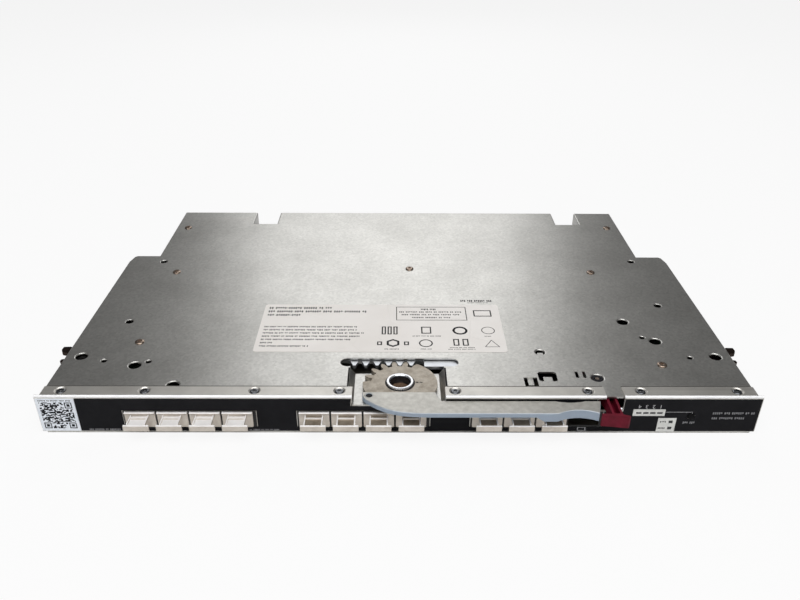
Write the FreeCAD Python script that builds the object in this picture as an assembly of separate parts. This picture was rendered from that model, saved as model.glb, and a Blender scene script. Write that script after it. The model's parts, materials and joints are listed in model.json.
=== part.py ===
import FreeCAD, Part
import math
import os

os.makedirs("parts", exist_ok=True)

# Pass-through module, drawn in millimetres from the front plane of its faceplate.
# It rests on its bottom cover, with the labelled base pan on top. X runs to the
# right seen from the front, Y to the rear and Z up. Each piece is moved back at
# the end so that the middle of the resting face is the origin.

# Driving sizes
face_width = 395.0
face_bottom = 1.0
face_top = 25.0
pan_top = 24.0
pan_half = 195.1
rear_half = 175.4
step_y = 173.5
rear_y = 255.5
sheet = 1.0
face_sheet = 1.2
middle_y = 128.0
flange_depth = 9.0

# Lever, gear and rack
pivot_x = 0.0
pivot_y = 16.6
gear_module = 2.1
gear_teeth = 18
rack_phase_y = 35.5
backlash = 0.16
lever_low = 19.9
lever_high = 22.6
gear_high = 22.3
bar_low = 20.2
bar_high = 22.4
lever_swing = 60.0
claw_swing = 40.0

# Claws
claw_x = 185.7
claw_y = 40.3
claw_low = 17.0
claw_high = 19.6
arm_length = 22.0
arm_start = 15.0
pin_radius = 2.0
slot_play = 0.2
cam_steps = 5
journal_radius = 2.5
running_gap = 0.05

# Latch and button
latch_x = 111.1
latch_y = 19.1
latch_bore = 2.2
link_plate_right = 152.2
button_clear = 1.6
button_share = 0.142
button_x = link_plate_right + button_clear + button_share * (pan_half - link_plate_right)
button_z = 12.0
button_radius = 1.9

# Ports
port_pitch = 17.7
port_wide = 17.0
port_low = 5.8
port_high = 14.5
cage_low = 5.3
cage_high = 15.0
cage_deep = 48.0
collar_wide = 1.4
group_share = [-0.58481, -0.1038, 0.37722]
group_x = [share * face_width / 2.0 for share in group_share]
open_port = 11

# Board
board_low = 3.4
board_high = 5.0

V = FreeCAD.Vector


def box(x0, y0, z0, x1, y1, z1):
    return Part.makeBox(x1 - x0, y1 - y0, z1 - z0, V(x0, y0, z0))


def bore(x, y, z0, z1, r):
    # A true round, for the bores that turn.
    return Part.makeCylinder(r, z1 - z0, V(x, y, z0))


def ring(x, y, z, r, sides):
    points = []
    for i in range(sides + 1):
        a = 2.0 * math.pi * (i + 0.5) / sides
        points.append(V(x + r * math.cos(a), y + r * math.sin(a), z))
    return Part.makePolygon(points)


def sides_for(r):
    for limit, sides in ((1.8, 8), (3.0, 10), (5.0, 12)):
        if r <= limit:
            return sides
    return 20


def rod(x, y, z0, z1, r):
    # A plain round with few facets, for screws, posts and clearance holes.
    return Part.Face(ring(x, y, z0, r, sides_for(r))).extrude(V(0, 0, z1 - z0))


def turned(x, y, z0, z1, r):
    # Shafts and discs, fine enough to turn in their bores.
    sides = 24 if r < 10 else 40
    return Part.Face(ring(x, y, z0, r, sides)).extrude(V(0, 0, z1 - z0))


def hexagon(x, y, z0, z1, r):
    return Part.Face(ring(x, y, z0, r, 6)).extrude(V(0, 0, z1 - z0))


def rod_y(x, z, y0, y1, r):
    body = rod(0, 0, 0, y1 - y0, r)
    body.rotate(V(0, 0, 0), V(1, 0, 0), -90)
    body.translate(V(x, y0, z))
    return body


def cone(x, y, z0, z1, r0, r1):
    sides = sides_for(min(r0, r1))
    return Part.makeLoft([ring(x, y, z0, r0, sides), ring(x, y, z1, r1, sides)], True, True)


def prism(points, z0, z1):
    wire = Part.makePolygon([V(x, y, z0) for x, y in points] + [V(points[0][0], points[0][1], z0)])
    return Part.Face(wire).extrude(V(0, 0, z1 - z0))


def prism_y(points, y0, y1):
    wire = Part.makePolygon([V(x, y0, z) for x, z in points] + [V(points[0][0], y0, points[0][1])])
    return Part.Face(wire).extrude(V(0, y1 - y0, 0))


def prism_x(points, x0, x1):
    wire = Part.makePolygon([V(x0, y, z) for y, z in points] + [V(x0, points[0][0], points[0][1])])
    return Part.Face(wire).extrude(V(x1 - x0, 0, 0))


def pill(x0, x1, y0, y1, z0, z1):
    r = (y1 - y0) / 2.0
    body = box(x0 + r, y0, z0, x1 - r, y1, z1)
    return body.fuse([rod(x0 + r, y0 + r, z0, z1, r), rod(x1 - r, y0 + r, z0, z1, r)]).removeSplitter()


def eased_box(x0, y0, z0, x1, y1, z1, r, way):
    body = box(x0, y0, z0, x1, y1, z1)
    edges = []
    for edge in body.Edges:
        a = edge.Vertexes[0].Point
        b = edge.Vertexes[1].Point
        d = b - a
        if way == "x" and abs(d.x) > 1e-6:
            edges.append(edge)
        if way == "y" and abs(d.y) > 1e-6:
            edges.append(edge)
        if way == "z" and abs(d.z) > 1e-6:
            edges.append(edge)
    return body.makeChamfer(r * 0.6, edges)


def track(points, r, z0, z1):
    # One bar or slot of even width along a row of points, round at both ends.
    left = []
    right = []
    for i, (x, y) in enumerate(points):
        before = points[max(i - 1, 0)]
        after = points[min(i + 1, len(points) - 1)]
        dx = after[0] - before[0]
        dy = after[1] - before[1]
        length = math.hypot(dx, dy)
        left.append((x - dy / length * r, y + dx / length * r))
        right.append((x + dy / length * r, y - dx / length * r))
    body = prism(left + right[::-1], z0, z1)
    ends = [rod(x, y, z0, z1, r) for x, y in (points[0], points[-1])]
    return body.fuse(ends).removeSplitter()


def save(name, shapes):
    if not isinstance(shapes, list):
        shapes = [shapes]
    solids = []
    for shape in shapes:
        solids += shape.Solids
    whole = solids[0] if len(solids) == 1 else Part.makeCompound(solids)
    whole.translate(V(0, -middle_y, 0))
    whole.exportStep("parts/" + name + ".step")


# Base pan: one folded sheet with side walls, a rear wall round two notches, a
# joggled pocket for the lever and a slot over the rack.
notch_wide = 18.8
notch_deep = 23.0
right_notch = rear_half - 29.9
left_notch = -rear_half + 78.2
notch_y = rear_y - notch_deep
outline = [
    (-pan_half, face_sheet + 0.1),
    (pan_half, face_sheet + 0.1),
    (pan_half, step_y - 9.5),
    (pan_half - 1.7, step_y - 1.5),
    (pan_half - 3.5, step_y),
    (rear_half, step_y),
    (rear_half, rear_y),
    (right_notch, rear_y),
    (right_notch, notch_y),
    (right_notch - notch_wide, notch_y),
    (right_notch - notch_wide, rear_y),
    (left_notch, rear_y),
    (left_notch, notch_y),
    (left_notch - notch_wide, notch_y),
    (left_notch - notch_wide, rear_y),
    (-rear_half, rear_y),
    (-rear_half, step_y),
    (-pan_half + 3.5, step_y),
    (-pan_half + 1.7, step_y - 1.5),
    (-pan_half, step_y - 9.5),
]


def inset(points, gap):
    wire = Part.makePolygon([V(x, y, 0) for x, y in points] + [V(points[0][0], points[0][1], 0)])
    return Part.Face(wire).makeOffset2D(-gap, 2, False, False, False)


pan = prism(outline, sheet, pan_top)
front_edge = face_sheet + 0.1
top_edges = []
for edge in pan.Edges:
    a = edge.Vertexes[0].Point
    b = edge.Vertexes[1].Point
    high = a.z > pan_top - 0.01 and b.z > pan_top - 0.01
    if high and not (abs(a.y - front_edge) < 0.01 and abs(b.y - front_edge) < 0.01):
        top_edges.append(edge)
pan = pan.makeChamfer(0.6, top_edges)
hollow = inset(outline, sheet)
hollow.translate(V(0, 0, sheet - 0.5))
hollow = hollow.extrude(V(0, 0, pan_top - sheet - sheet + 0.5))
pan = pan.cut(hollow)
pan = pan.cut(box(-pan_half + sheet, 0, 0.5, pan_half - sheet, 4, pan_top - sheet))

pocket_left = -28.5
pocket_right = 25.3
floor_left = -25.5
floor_right = 22.4
floor_top = 19.6
pan = pan.cut(box(pocket_left, 0, 22, pocket_right, 31.5, 26))
pan = pan.cut(pill(-34.5, 34.0, 30.6, 38.6, 22, 26))
pocket = [
    (pocket_left - 1.1, pan_top),
    (pocket_left, pan_top),
    (floor_left, floor_top),
    (floor_right, floor_top),
    (pocket_right, pan_top),
    (pocket_right + 1.1, pan_top),
    (pocket_right + 1.1, pan_top - sheet),
    (floor_right + 0.5, floor_top - sheet),
    (floor_left - 0.5, floor_top - sheet),
    (pocket_left - 1.1, pan_top - sheet),
]
tray = prism_y(pocket, -0.2, 29.0)
tray = tray.cut(box(-60, -1, 20.2, 60, face_sheet + 0.1, 26))
tray = tray.cut(box(-60, -1, 10, floor_left - 0.5, face_sheet + 0.1, 26))
tray = tray.cut(box(floor_right + 0.5, -1, 10, 60, face_sheet + 0.1, 26))
pan = pan.fuse(tray)
pan = pan.cut(turned(pivot_x, pivot_y, 17, 21, 6.95))

round_holes = [
    (-185.7, 40.1, 3.5),
    (-152.1, 31.1, 3.5),
    (185.6, 40.7, 3.5),
    (155.1, 57.6, 3.5),
    (141.2, 80.5, 3.4),
    (-125.5, 12.0, 3.4),
    (-169.9, 164.0, 2.4),
    (-169.6, 79.7, 2.4),
    (169.6, 101.2, 2.4),
    (169.4, 165.9, 2.4),
    (-171.2, 35.5, 1.7),
    (-145.3, 34.8, 1.7),
    (148.3, 61.8, 1.7),
    (170.2, 39.6, 1.7),
    (83.1, 45.4, 2.8),
    (latch_x, latch_y, 3.5),
]
for x, y, r in round_holes:
    pan = pan.cut(rod(x, y, 22.5, 25, r))

# Lanced windows near the latch: one with a lug bent down from its rear edge, one
# round the three sides of a tab, and a pair of slits beside each other.
pan = pan.cut(box(69.4, 9.6, 22.5, 77.0, 19.2, 25))
pan = pan.fuse(box(71.6, 11.6, 22.4, 74.8, 19.3, 23.4))
pan = pan.cut(eased_box(77.9, 15.6, 22.5, 88.5, 24.8, 25, 2.6, "z"))
pan = pan.fuse(box(80.6, 15.5, pan_top - sheet, 85.7, 19.9, pan_top))
pan = pan.cut(box(99.2, 19.0, 22.5, 101.0, 25.2, 25))
pan = pan.cut(box(103.4, 19.0, 22.5, 105.2, 25.2, 25))

# Side windows for the claws, the rear opening and the tab behind the latch spring.
for side in (-1, 1):
    x0 = min(side * (pan_half - 2.1), side * (pan_half + 1.4))
    x1 = max(side * (pan_half - 2.1), side * (pan_half + 1.4))
    pan = pan.cut(box(x0, 35.5, 16.4, x1, 67.5, 20.1))
rear_left = left_notch + 5.2
rear_right = right_notch - notch_wide - 4.7
pan = pan.cut(box(rear_left, rear_y - 3, 2.0, rear_right, rear_y + 1, 20.5))
spring_seat_x = 126.6
pan = pan.fuse(box(spring_seat_x, 4.5, 16.2, spring_seat_x + sheet, 11.5, 23.2))

pan_screws = [
    (-156.6, 147.4),
    (-rear_half + 9.1, 223.9),
    (-156.3, 55.6),
    (151.5, 32.0),
    (rear_half - 9.4, 225.4),
    (136.0, 148.3),
    (7.6, 153.3),
]
for x, y in pan_screws:
    pan = pan.cut(rod(x, y, 22.5, 25, 1.6))
end_screw_x = pan_half - 10.4
flange_screws = [-end_screw_x, -139.2, -79.5, -33.2, 30.1, 102.7, 131.7, end_screw_x]
for x in flange_screws:
    pan = pan.cut(rod(x, 5.3, 22.5, 25, 1.3))
save("base_pan", pan.removeSplitter())

# Bottom cover: the sheet the module rests on.
cover_outline = [(x, y if y > 10 else 0.1) for x, y in outline]
cover = prism(cover_outline, 0, sheet)
cover_screws = []
for x, y in ((pan_half - 23.1, 20.0), (60.0, 88.0), (pan_half - 23.1, 120.0), (60.0, 205.0)):
    cover_screws += [(-x, y), (x, y)]
for x, y in cover_screws:
    cover = cover.cut(rod(x, y, -1, 2, 1.6))
    cover = cover.cut(cone(x, y, -0.01, 0.9, 2.8, 1.6))
save("bottom_cover", cover)

# Faceplate: a folded strip with a top flange in three lengths and a tucked foot.
side = face_width / 2.0
bend = 1.5
profile = [
    (0.0, face_bottom),
    (flange_depth, face_bottom),
    (flange_depth, face_bottom + sheet),
    (face_sheet, face_bottom + sheet),
    (face_sheet, face_top - sheet),
    (flange_depth, face_top - sheet),
    (flange_depth, face_top),
    (bend, face_top),
    (bend * 0.62, face_top - bend * 0.08),
    (bend * 0.29, face_top - bend * 0.29),
    (bend * 0.08, face_top - bend * 0.62),
    (0.0, face_top - bend),
]
face = prism_x(profile, -side, side)
# The flange and foot stop at the pan's walls.
for s in (-1, 1):
    x0 = min(s * (pan_half + 0.1), s * (side + 1))
    x1 = max(s * (pan_half + 0.1), s * (side + 1))
    face = face.cut(box(x0, face_sheet, 0, x1, 12, 26))
for s in (-1, 1):
    x0 = min(s * (pan_half - sheet - 0.1), s * (side + 1))
    x1 = max(s * (pan_half - sheet - 0.1), s * (side + 1))
    face = face.cut(box(x0, face_sheet, 0, x1, 12, 20))
# The flange reaches a little way over the pocket's sloping sides.
over_left = 2.3
over_right = 0.7
lever_gap = [
    (pocket_left + over_left, 27.0),
    (pocket_left + over_left, 23.6),
    (floor_left - 1.2, floor_top - 1.1),
    (floor_right + 1.2, floor_top - 1.1),
    (pocket_right - over_right, 23.6),
    (pocket_right - over_right, 27.0),
]
face = face.cut(prism_y(lever_gap, -1, 12))
face = face.cut(box(111.9, -1, 22.9, 121.9, 12, 27))
face = face.cut(box(107.2, -1, 15.4, 121.9, 3, 23.0))
for gx in group_x:
    half = 2 * port_pitch + 0.4
    face = face.cut(box(gx - half, -1, cage_low - 0.1, gx + half, 3, cage_high + 0.1))
light_slots = [(129.2 + 3.85 * i, 13.6, 3.0, 1.3) for i in range(4)]
link_slots = [(link_plate_right - 4.0, 2.8 + 4.3 * i, 2.3, 2.0) for i in range(2)]
for x, z, w, h in light_slots + link_slots:
    face = face.cut(box(x - 0.1, -1, z - 0.1, x + w + 0.1, 3, z + h + 0.1))
face = face.cut(rod_y(button_x, button_z, -1, 3, button_radius + 0.3))
for x in flange_screws:
    face = face.cut(rod(x, 5.3, 23, 26, 1.4))
    face = face.cut(cone(x, 5.3, face_top - 0.95, face_top + 0.15, 1.5, 2.9))
save("faceplate", face)

# Black front film, cut round everything that comes through the face.
film_left = -side + 21.5
film = box(film_left, -0.25, 1.4, side - 0.5, 0, 23.2)
film = film.cut(prism_y([(x + (0.4 if x > 0 else -0.4), z) for x, z in lever_gap], -1, 1))
film = film.cut(box(106.9, -1, 15.0, 122.2, 1, 27))
for gx in group_x:
    half = 2 * port_pitch
    film = film.cut(box(gx - half - 0.8, -1, 4.4, gx + half + collar_wide + 0.3, 1, cage_high + 0.4))
film = film.cut(box(127.4, -1, 12.2, 145.2, 1, 16.7))
film = film.cut(box(link_plate_right - 10.1, -1, 1.3, link_plate_right + 0.1, 1, 10.7))
film = film.cut(rod_y(button_x, button_z, -1, 1, button_radius + 0.4))
save("front_film", film)

# Pale sticker at the left end, and the two pale indicator plates.
save("code_sticker", box(-side + 0.3, -0.25, 1.4, film_left - 0.2, 0, 23.2))
plate_a = box(127.5, -0.5, 12.3, 145.1, 0, 16.6)
plate_b = box(link_plate_right - 10.0, -0.5, 1.4, link_plate_right, 0, 10.6)
for x, z, w, h in light_slots:
    plate_a = plate_a.cut(box(x, -1, z, x + w, 1, z + h))
for x, z, w, h in link_slots:
    plate_b = plate_b.cut(box(x, -1, z, x + w, 1, z + h))
save("indicator_plates", [plate_a, plate_b])

# Light pipes: dark lenses at the face with stalks down to the board.
pipes = []
for x, z, w, h in light_slots + link_slots:
    head = box(x + 0.05, -0.35, z + 0.05, x + w - 0.05, 6.0, z + h - 0.05)
    if z > 8:
        stalk = box(x + 0.4, 4.6, board_high, x + w - 0.4, 6.0, z + 0.2)
        head = head.fuse(stalk)
    elif z > 5:
        head = head.fuse(box(x + 0.05, 4.8, board_high, x + w - 0.05, 7.2, z + 0.2))
    pipes.append(head.removeSplitter())
save("light_pipes", pipes)

# Rating label on the pan.
save("rating_label", eased_box(-87.0, 45.0, pan_top, 64.2, 101.4, pan_top + 0.15, 2.0, "z"))

# Circuit board with holes for the pillars, cut away round the notches.
board_half = pan_half - 19.1
board_rear_half = rear_half - 5.4
tab_right = right_notch - notch_wide - 2.7
tab_left = left_notch + 2.7
tab_y = rear_y - 5.5
step_in = notch_y - 4.5
board_plan = [
    (-board_half, 11.0),
    (board_half, 11.0),
    (board_half, step_y - 5.5),
    (board_rear_half, step_y - 3.5),
    (board_rear_half, step_in),
    (tab_right, step_in),
    (tab_right, tab_y),
    (tab_left, tab_y),
    (tab_left, step_in),
    (-board_rear_half, step_in),
    (-board_rear_half, step_y - 3.5),
    (-board_half, step_y - 5.5),
]
board = prism(board_plan, board_low, board_high)
tall_pillars = [p for p in pan_screws if p != (151.5, 32.0)]
for x, y in tall_pillars:
    board = board.cut(rod(x, y, 0, 8, 3.4))
for x, y in cover_screws:
    board = board.cut(rod(x, y, 0, 8, 1.6))
save("circuit_board", board)

# Pillars between cover and pan, and short standoffs under the board.
pillars = []
for x, y in tall_pillars:
    post = hexagon(x, y, sheet, pan_top - sheet, 3.0)
    pillars.append(post.cut(rod(x, y, 17, 25, 1.5)))
save("chassis_pillars", pillars)
standoffs = []
for x, y in cover_screws:
    post = hexagon(x, y, sheet, board_low, 3.2)
    standoffs.append(post.cut(rod(x, y, 0, 5, 1.35)))
save("board_standoffs", standoffs)

# Port cages: three gangs of four sockets, each closed at the rear.
cages = []
ports = []
for gx in group_x:
    half = 2 * port_pitch
    gang = box(gx - half, -0.3, cage_low, gx + half, cage_deep, cage_high)
    collar = box(gx - half - 0.4, -0.3, cage_low - 0.6, gx + half + collar_wide, 0, cage_high + 0.2)
    gang = gang.fuse(collar)
    gang = gang.fuse(box(gx - half + 2, 12, board_high, gx + half - 2, cage_deep, cage_low + 0.1))
    for i in range(4):
        px = gx + (i - 1.5) * port_pitch
        ports.append(px)
        mouth = box(px - port_wide / 2, -1, port_low, px + port_wide / 2, cage_deep - 1.0, port_high)
        gang = gang.cut(mouth)
    cages.append(gang.removeSplitter())
save("port_cages", cages)

# Edge connector tongue at the back of each socket, the part a transceiver meets.
tongues = []
for px in ports:
    tongues.append(box(px - 5.2, 40.0, 9.6, px + 5.2, cage_deep - 1.0, 11.2))
save("socket_tongues", tongues)


def plug(px):
    # A stamped cover: box body, front plate, rolled top lip, ribbed tongue and pull lip.
    body = box(px - 8.2, -0.3, 6.1, px + 8.2, 22.0, 14.2)
    body = body.cut(box(px - 7.6, 0.5, 6.7, px + 7.6, 23.0, 13.6))
    plate = eased_box(px - 8.35, -1.0, 4.6, px + 8.35, -0.3, 14.8, 0.8, "y")
    top = box(px - 8.2, -1.9, 14.0, px + 8.2, -0.3, 14.8)
    whole = body.fuse([plate, top])
    whole = whole.fuse(box(px - 5.1, -9.0, 11.6, px + 5.1, -0.9, 12.2))
    for s in (-1, 1):
        x0 = px + s * 4.7 - 0.4
        whole = whole.fuse(box(x0, -9.0, 12.1, x0 + 0.8, -0.9, 13.0))
    lip = eased_box(px - 6.9, -9.6, 8.2, px + 6.9, -8.6, 12.2, 0.9, "y")
    return whole.fuse(lip).removeSplitter()


plugs = [plug(px) for i, px in enumerate(ports) if i != open_port]
save("port_plugs", plugs)

# Chips, a heat sink with fins and the two rear connectors on the board.
chips = []
for x in (-110, -55, 0, 55, 110):
    chips.append(box(x - 9, 70, board_high, x + 9, 88, board_high + 1.8))
for x in (-130, -85, 85, 130):
    chips.append(box(x - 6, 120, board_high, x + 6, 132, board_high + 1.2))
save("board_chips", chips)
sink = box(-26, 118, board_high, 14, 142, board_high + 3)
for i in range(9):
    x = -25.4 + 4.8 * i
    sink = sink.fuse(box(x, 118, board_high + 2.5, x + 1.2, 142, board_high + 12))
save("heat_sink", sink.removeSplitter())
connectors = []
connector_half = 34.0
connector_rear = rear_y + 1.5
cavity_y = connector_rear - 8.0
for cx in (rear_left + 6.0 + connector_half, rear_right - 6.0 - connector_half):
    left = cx - connector_half
    block = box(left, connector_rear - 17.0, board_high, left + 2 * connector_half, connector_rear, 18.6)
    for i in range(8):
        x = left + 2.4 + 8.1 * i
        for z in (7.6, 13.0):
            block = block.cut(box(x, cavity_y, z, x + 6.4, connector_rear + 1, z + 3.4))
    connectors.append(block)
save("rear_connectors", connectors)

# Drive bar: rack, spine and two end plates with shaped cam slots. Each slot is
# the path of its claw's pin seen from the bar, so both claws turn in step.
stroke = gear_module * gear_teeth / 2.0 * math.radians(lever_swing)


def pin_place(side_sign, turn):
    angle = math.radians(arm_start - turn)
    x = -claw_x + arm_length * math.cos(angle)
    y = claw_y + arm_length * math.sin(angle)
    return (x if side_sign < 0 else -x, y)


def cam_path(side_sign, steps):
    points = []
    for i in range(steps + 1):
        part = i / float(steps)
        x, y = pin_place(side_sign, claw_swing * part)
        points.append((x - stroke * part, y))
    return points


pitch = math.pi * gear_module
addendum = gear_module
slope = math.tan(math.radians(20.0))
root_y = rack_phase_y + 1.25 * gear_module
spine_y = root_y + 0.7
spine_wide = 7.2
bar = box(-claw_x + 19.7, spine_y, bar_low, claw_x - 33.7, spine_y + spine_wide, bar_high)
for side_sign in (-1, 1):
    path = cam_path(side_sign, cam_steps)
    xs = [p[0] for p in path]
    ys = [p[1] for p in path]
    x0 = min(xs) - 4.6
    x1 = max(xs) + 4.6
    plate = eased_box(x0, min(ys) - 4.6, bar_low, x1, max(ys) + 4.6, bar_high, 3.5, "z")
    bar = bar.fuse(plate)
bar = bar.fuse(box(14.2, rack_phase_y - 3.1, bar_low, 36.0, spine_y + 1.0, bar_high))
bar = bar.fuse(box(-29.8, root_y, bar_low, 15.0, spine_y + 1.0, bar_high))
for k in range(-4, 2):
    x = k * pitch
    tip_y = rack_phase_y - addendum
    half_tip = pitch / 4.0 - backlash - slope * addendum
    half_root = pitch / 4.0 - backlash + slope * 1.25 * gear_module
    tooth = [
        (x - half_tip, tip_y),
        (x + half_tip, tip_y),
        (x + half_root, root_y),
        (x + half_root, spine_y + 0.5),
        (x - half_root, spine_y + 0.5),
        (x - half_root, root_y),
    ]
    bar = bar.fuse(prism(tooth, bar_low, bar_high))
for side_sign in (-1, 1):
    slot = track(cam_path(side_sign, cam_steps), pin_radius + slot_play, bar_low - 1, bar_high + 1)
    bar = bar.cut(slot)
for x in (-96.0, 88.0):
    bar = bar.cut(pill(x, x + 26.0, spine_y + 2.0, spine_y + 5.2, bar_low - 1, bar_high + 1))
save("drive_bar", bar.removeSplitter())

# Clips under the pan that carry the bar.
clips = []
slide_gap = 0.3
clip_wall = 0.8
for x in (-112.0, -56.0, 64.0, 119.0):
    half = 4.0
    clip_y = spine_y - slide_gap - clip_wall
    clip_rear = spine_y + spine_wide + slide_gap + clip_wall
    clip = box(x - half, clip_y, bar_low - 1.0, x + half, clip_rear, pan_top - sheet)
    room = box(x - half - 1, spine_y - slide_gap, bar_low - 0.2, x + half + 1, clip_rear - clip_wall, pan_top)
    clip = clip.cut(room)
    clip = clip.fuse([
        box(x - half, clip_y - 3.1, pan_top - sheet - 0.8, x + half, clip_y + 0.7, pan_top - sheet),
        box(x - half, clip_rear - 0.7, pan_top - sheet - 0.8, x + half, clip_rear + 3.1, pan_top - sheet),
    ])
    clips.append(clip.removeSplitter())
save("bar_clips", clips)

# Claws on posts, with a pin each that rides in the bar's cam slot.


def claw(side_sign):
    def at(x, y):
        return (x if side_sign < 0 else -x, y)

    px, py = pin_place(-1, 0.0)
    hub = rod(at(-claw_x, 0)[0], claw_y, claw_low, claw_high, 6.2)
    arm = track([at(-claw_x, claw_y), at(px, py)], 3.6, claw_low, claw_high)
    hook = [
        (-183.0, 46.2),
        (-191.4, 42.2),
        (-192.4, 40.9),
        (-198.2, 40.7),
        (-200.0, 41.6),
        (-199.6, 43.4),
        (-195.8, 44.6),
        (-196.4, 49.4),
        (-202.4, 51.6),
        (-203.4, 54.0),
        (-203.2, 57.0),
        (-199.2, 57.2),
        (-193.0, 54.6),
        (-187.0, 51.0),
    ]
    plate = prism([at(x, y) for x, y in hook], claw_low, claw_high)
    whole = hub.fuse([arm, plate])
    hole = bore(at(-claw_x, 0)[0], claw_y, claw_low - 1, claw_high + 1, journal_radius + running_gap)
    whole = whole.cut(hole)
    pin = rod(at(px, 0)[0], py, claw_high - 0.5, bar_high - 0.1, pin_radius)
    return whole.fuse(pin).removeSplitter()


save("claw_left", claw(-1))
save("claw_right", claw(1))
posts = []
rings = []
for s in (-1, 1):
    post = rod(s * claw_x, claw_y, sheet, claw_low - 0.2, 4.2)
    post = post.fuse(turned(s * claw_x, claw_y, claw_low - 0.2, claw_high + 0.5, journal_radius))
    groove = rod(s * claw_x, claw_y, claw_high + 0.1, claw_high + 0.4, journal_radius + 1)
    groove = groove.cut(rod(s * claw_x, claw_y, claw_high, claw_high + 0.5, 2.0))
    posts.append(post.cut(groove).removeSplitter())
    clip_ring = rod(s * claw_x, claw_y, claw_high + 0.1, claw_high + 0.4, 4.0)
    clip_ring = clip_ring.cut(rod(s * claw_x, claw_y, claw_high, claw_high + 0.5, 2.0))
    mouth = box(s * claw_x - 1.2, claw_y, claw_high, s * claw_x + 1.2, claw_y + 6, claw_high + 1)
    rings.append(clip_ring.cut(mouth))
save("claw_posts", posts)
save("claw_rings", rings)

# Gear sector: involute teeth over the rear left of a disc, smooth elsewhere.
pitch_r = gear_module * gear_teeth / 2.0
base_r = pitch_r * math.cos(math.radians(20.0))
tip_r = pitch_r + gear_module
root_r = pitch_r - 1.25 * gear_module


def spread(r):
    if r <= base_r:
        return 0.0
    a = math.acos(base_r / r)
    return math.tan(a) - a


def half_tooth(r):
    half = math.pi / (2.0 * gear_teeth) - backlash / pitch_r
    return half + spread(pitch_r) - spread(r)


def gear_point(r, angle):
    return (pivot_x + r * math.cos(angle), pivot_y + r * math.sin(angle))


disc = turned(pivot_x, pivot_y, lever_low, gear_high, tip_r)
low_r = 0.5 * (base_r + pitch_r)
high_r = pitch_r + 0.5 * gear_module
radii = [root_r, base_r, low_r, pitch_r, high_r, tip_r, tip_r + 0.6]
for space in (70, 90, 110, 130, 150, 170):
    left = math.radians(space + 10.0)
    right = math.radians(space - 10.0)
    edge_a = []
    edge_b = []
    for r in radii:
        edge_a.append(gear_point(r, left - half_tooth(min(r, tip_r))))
        edge_b.append(gear_point(r, right + half_tooth(min(r, tip_r))))
    disc = disc.cut(prism(edge_a + edge_b[::-1], lever_low - 1, gear_high + 1))
tail_top = 21.2
tail_plan = [
    (-19.5, 10.5),
    (-19.0, 3.2),
    (-12.5, -3.2),
    (-4.0, -7.0),
    (6.0, -9.4),
    (24.0, -9.6),
    (26.5, -7.6),
    (26.5, -1.9),
    (22.0, -0.8),
    (19.9, 2.8),
    (19.8, 10.5),
]
tail = prism(tail_plan, lever_low, tail_top)
# Only the thin tail goes on under the handle, forward of the joint line.
joint_y = 7.1
disc = disc.cut(box(-40, -40, tail_top, 40, joint_y, 30))
disc = disc.fuse(tail)
disc = disc.cut(bore(pivot_x, pivot_y, 18, 25, 6.9 + running_gap))
rivet_places = [(-17.0, 4.2), (8.2, -5.9), (22.5, -5.6)]
for x, y in rivet_places:
    disc = disc.cut(rod(x, y, 18, 25, 1.75))
save("gear_sector", disc.removeSplitter())

# Lever handle: flat heel over the gear's tail, straight arm in front of the face
# and a deeper end with a finger scallop in its front edge.
front_y = -11.8
end_low = 17.2
heel = [
    (-20.9, joint_y),
    (-20.5, 3.0),
    (-18.6, 0.2),
    (-15.7, -2.3),
    (-12.8, -4.7),
    (-9.5, -6.8),
    (-6.6, -8.3),
    (-3.5, -9.5),
    (1.2, -10.7),
    (6.4, -11.4),
    (12.0, front_y),
    (105.6, front_y),
    (107.3, -6.0),
    (108.5, -1.0),
    (108.4, -0.5),
    (26.9, -0.6),
    (22.5, -0.5),
    (22.1, 0.6),
    (20.5, 3.3),
    (19.6, joint_y),
]
handle = prism(heel, lever_low, lever_high)
heel_room = [
    (-30.0, 12.0),
    (-30.0, -9.0),
    (5.5, -9.9),
    (24.6, -10.0),
    (27.0, -7.8),
    (27.0, 12.0),
]
handle = handle.cut(prism(heel_room, lever_low - 1, tail_top))
# A rim round the tail hides it from the front; the rear right stays open.
rim_room = [
    (-19.7, 13.0),
    (-19.2, 3.1),
    (-12.6, -3.4),
    (-4.1, -7.2),
    (5.9, -9.6),
    (24.1, -9.8),
    (26.8, -7.7),
    (26.8, 13.0),
]
rim = prism(heel, lever_low, tail_top).cut(prism(rim_room, lever_low - 1, tail_top + 0.5))
handle = handle.fuse(rim)
thick_plan = [
    (72.0, front_y),
    (105.6, front_y),
    (107.3, -6.0),
    (108.5, -1.0),
    (108.4, -0.6),
    (72.0, -0.6),
]
run_in = [
    (70.0, end_low - 1),
    (73.0, end_low - 1),
    (76.5, end_low),
    (72.6, lever_low),
    (70.0, lever_low),
]
thick = prism(thick_plan, end_low, lever_high).cut(prism_y(run_in, -20, 5))
handle = handle.fuse(thick)
scallop_r = 22.0
handle = handle.cut(turned(95.2, -8.6 - scallop_r, 10, 30, scallop_r))
# The rear edge dips too, so that a fingertip gets behind the arm.
dip_r = 25.3
handle = handle.cut(turned(92.0, -1.9 + dip_r, 10, 30, dip_r))
handle = handle.removeSplitter()
sharp = []
for edge in handle.Edges:
    bounds = edge.BoundBox
    if bounds.ZMin > lever_high - 0.01 and bounds.YMin < joint_y - 0.1:
        sharp.append(edge)
handle = handle.makeChamfer(0.35, sharp)
for x, y in rivet_places:
    handle = handle.cut(rod(x, y, 18, 25, 1.75))
    handle = handle.cut(rod(x, y, lever_high - 0.5, 25, 2.6))
save("lever_handle", handle)

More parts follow.
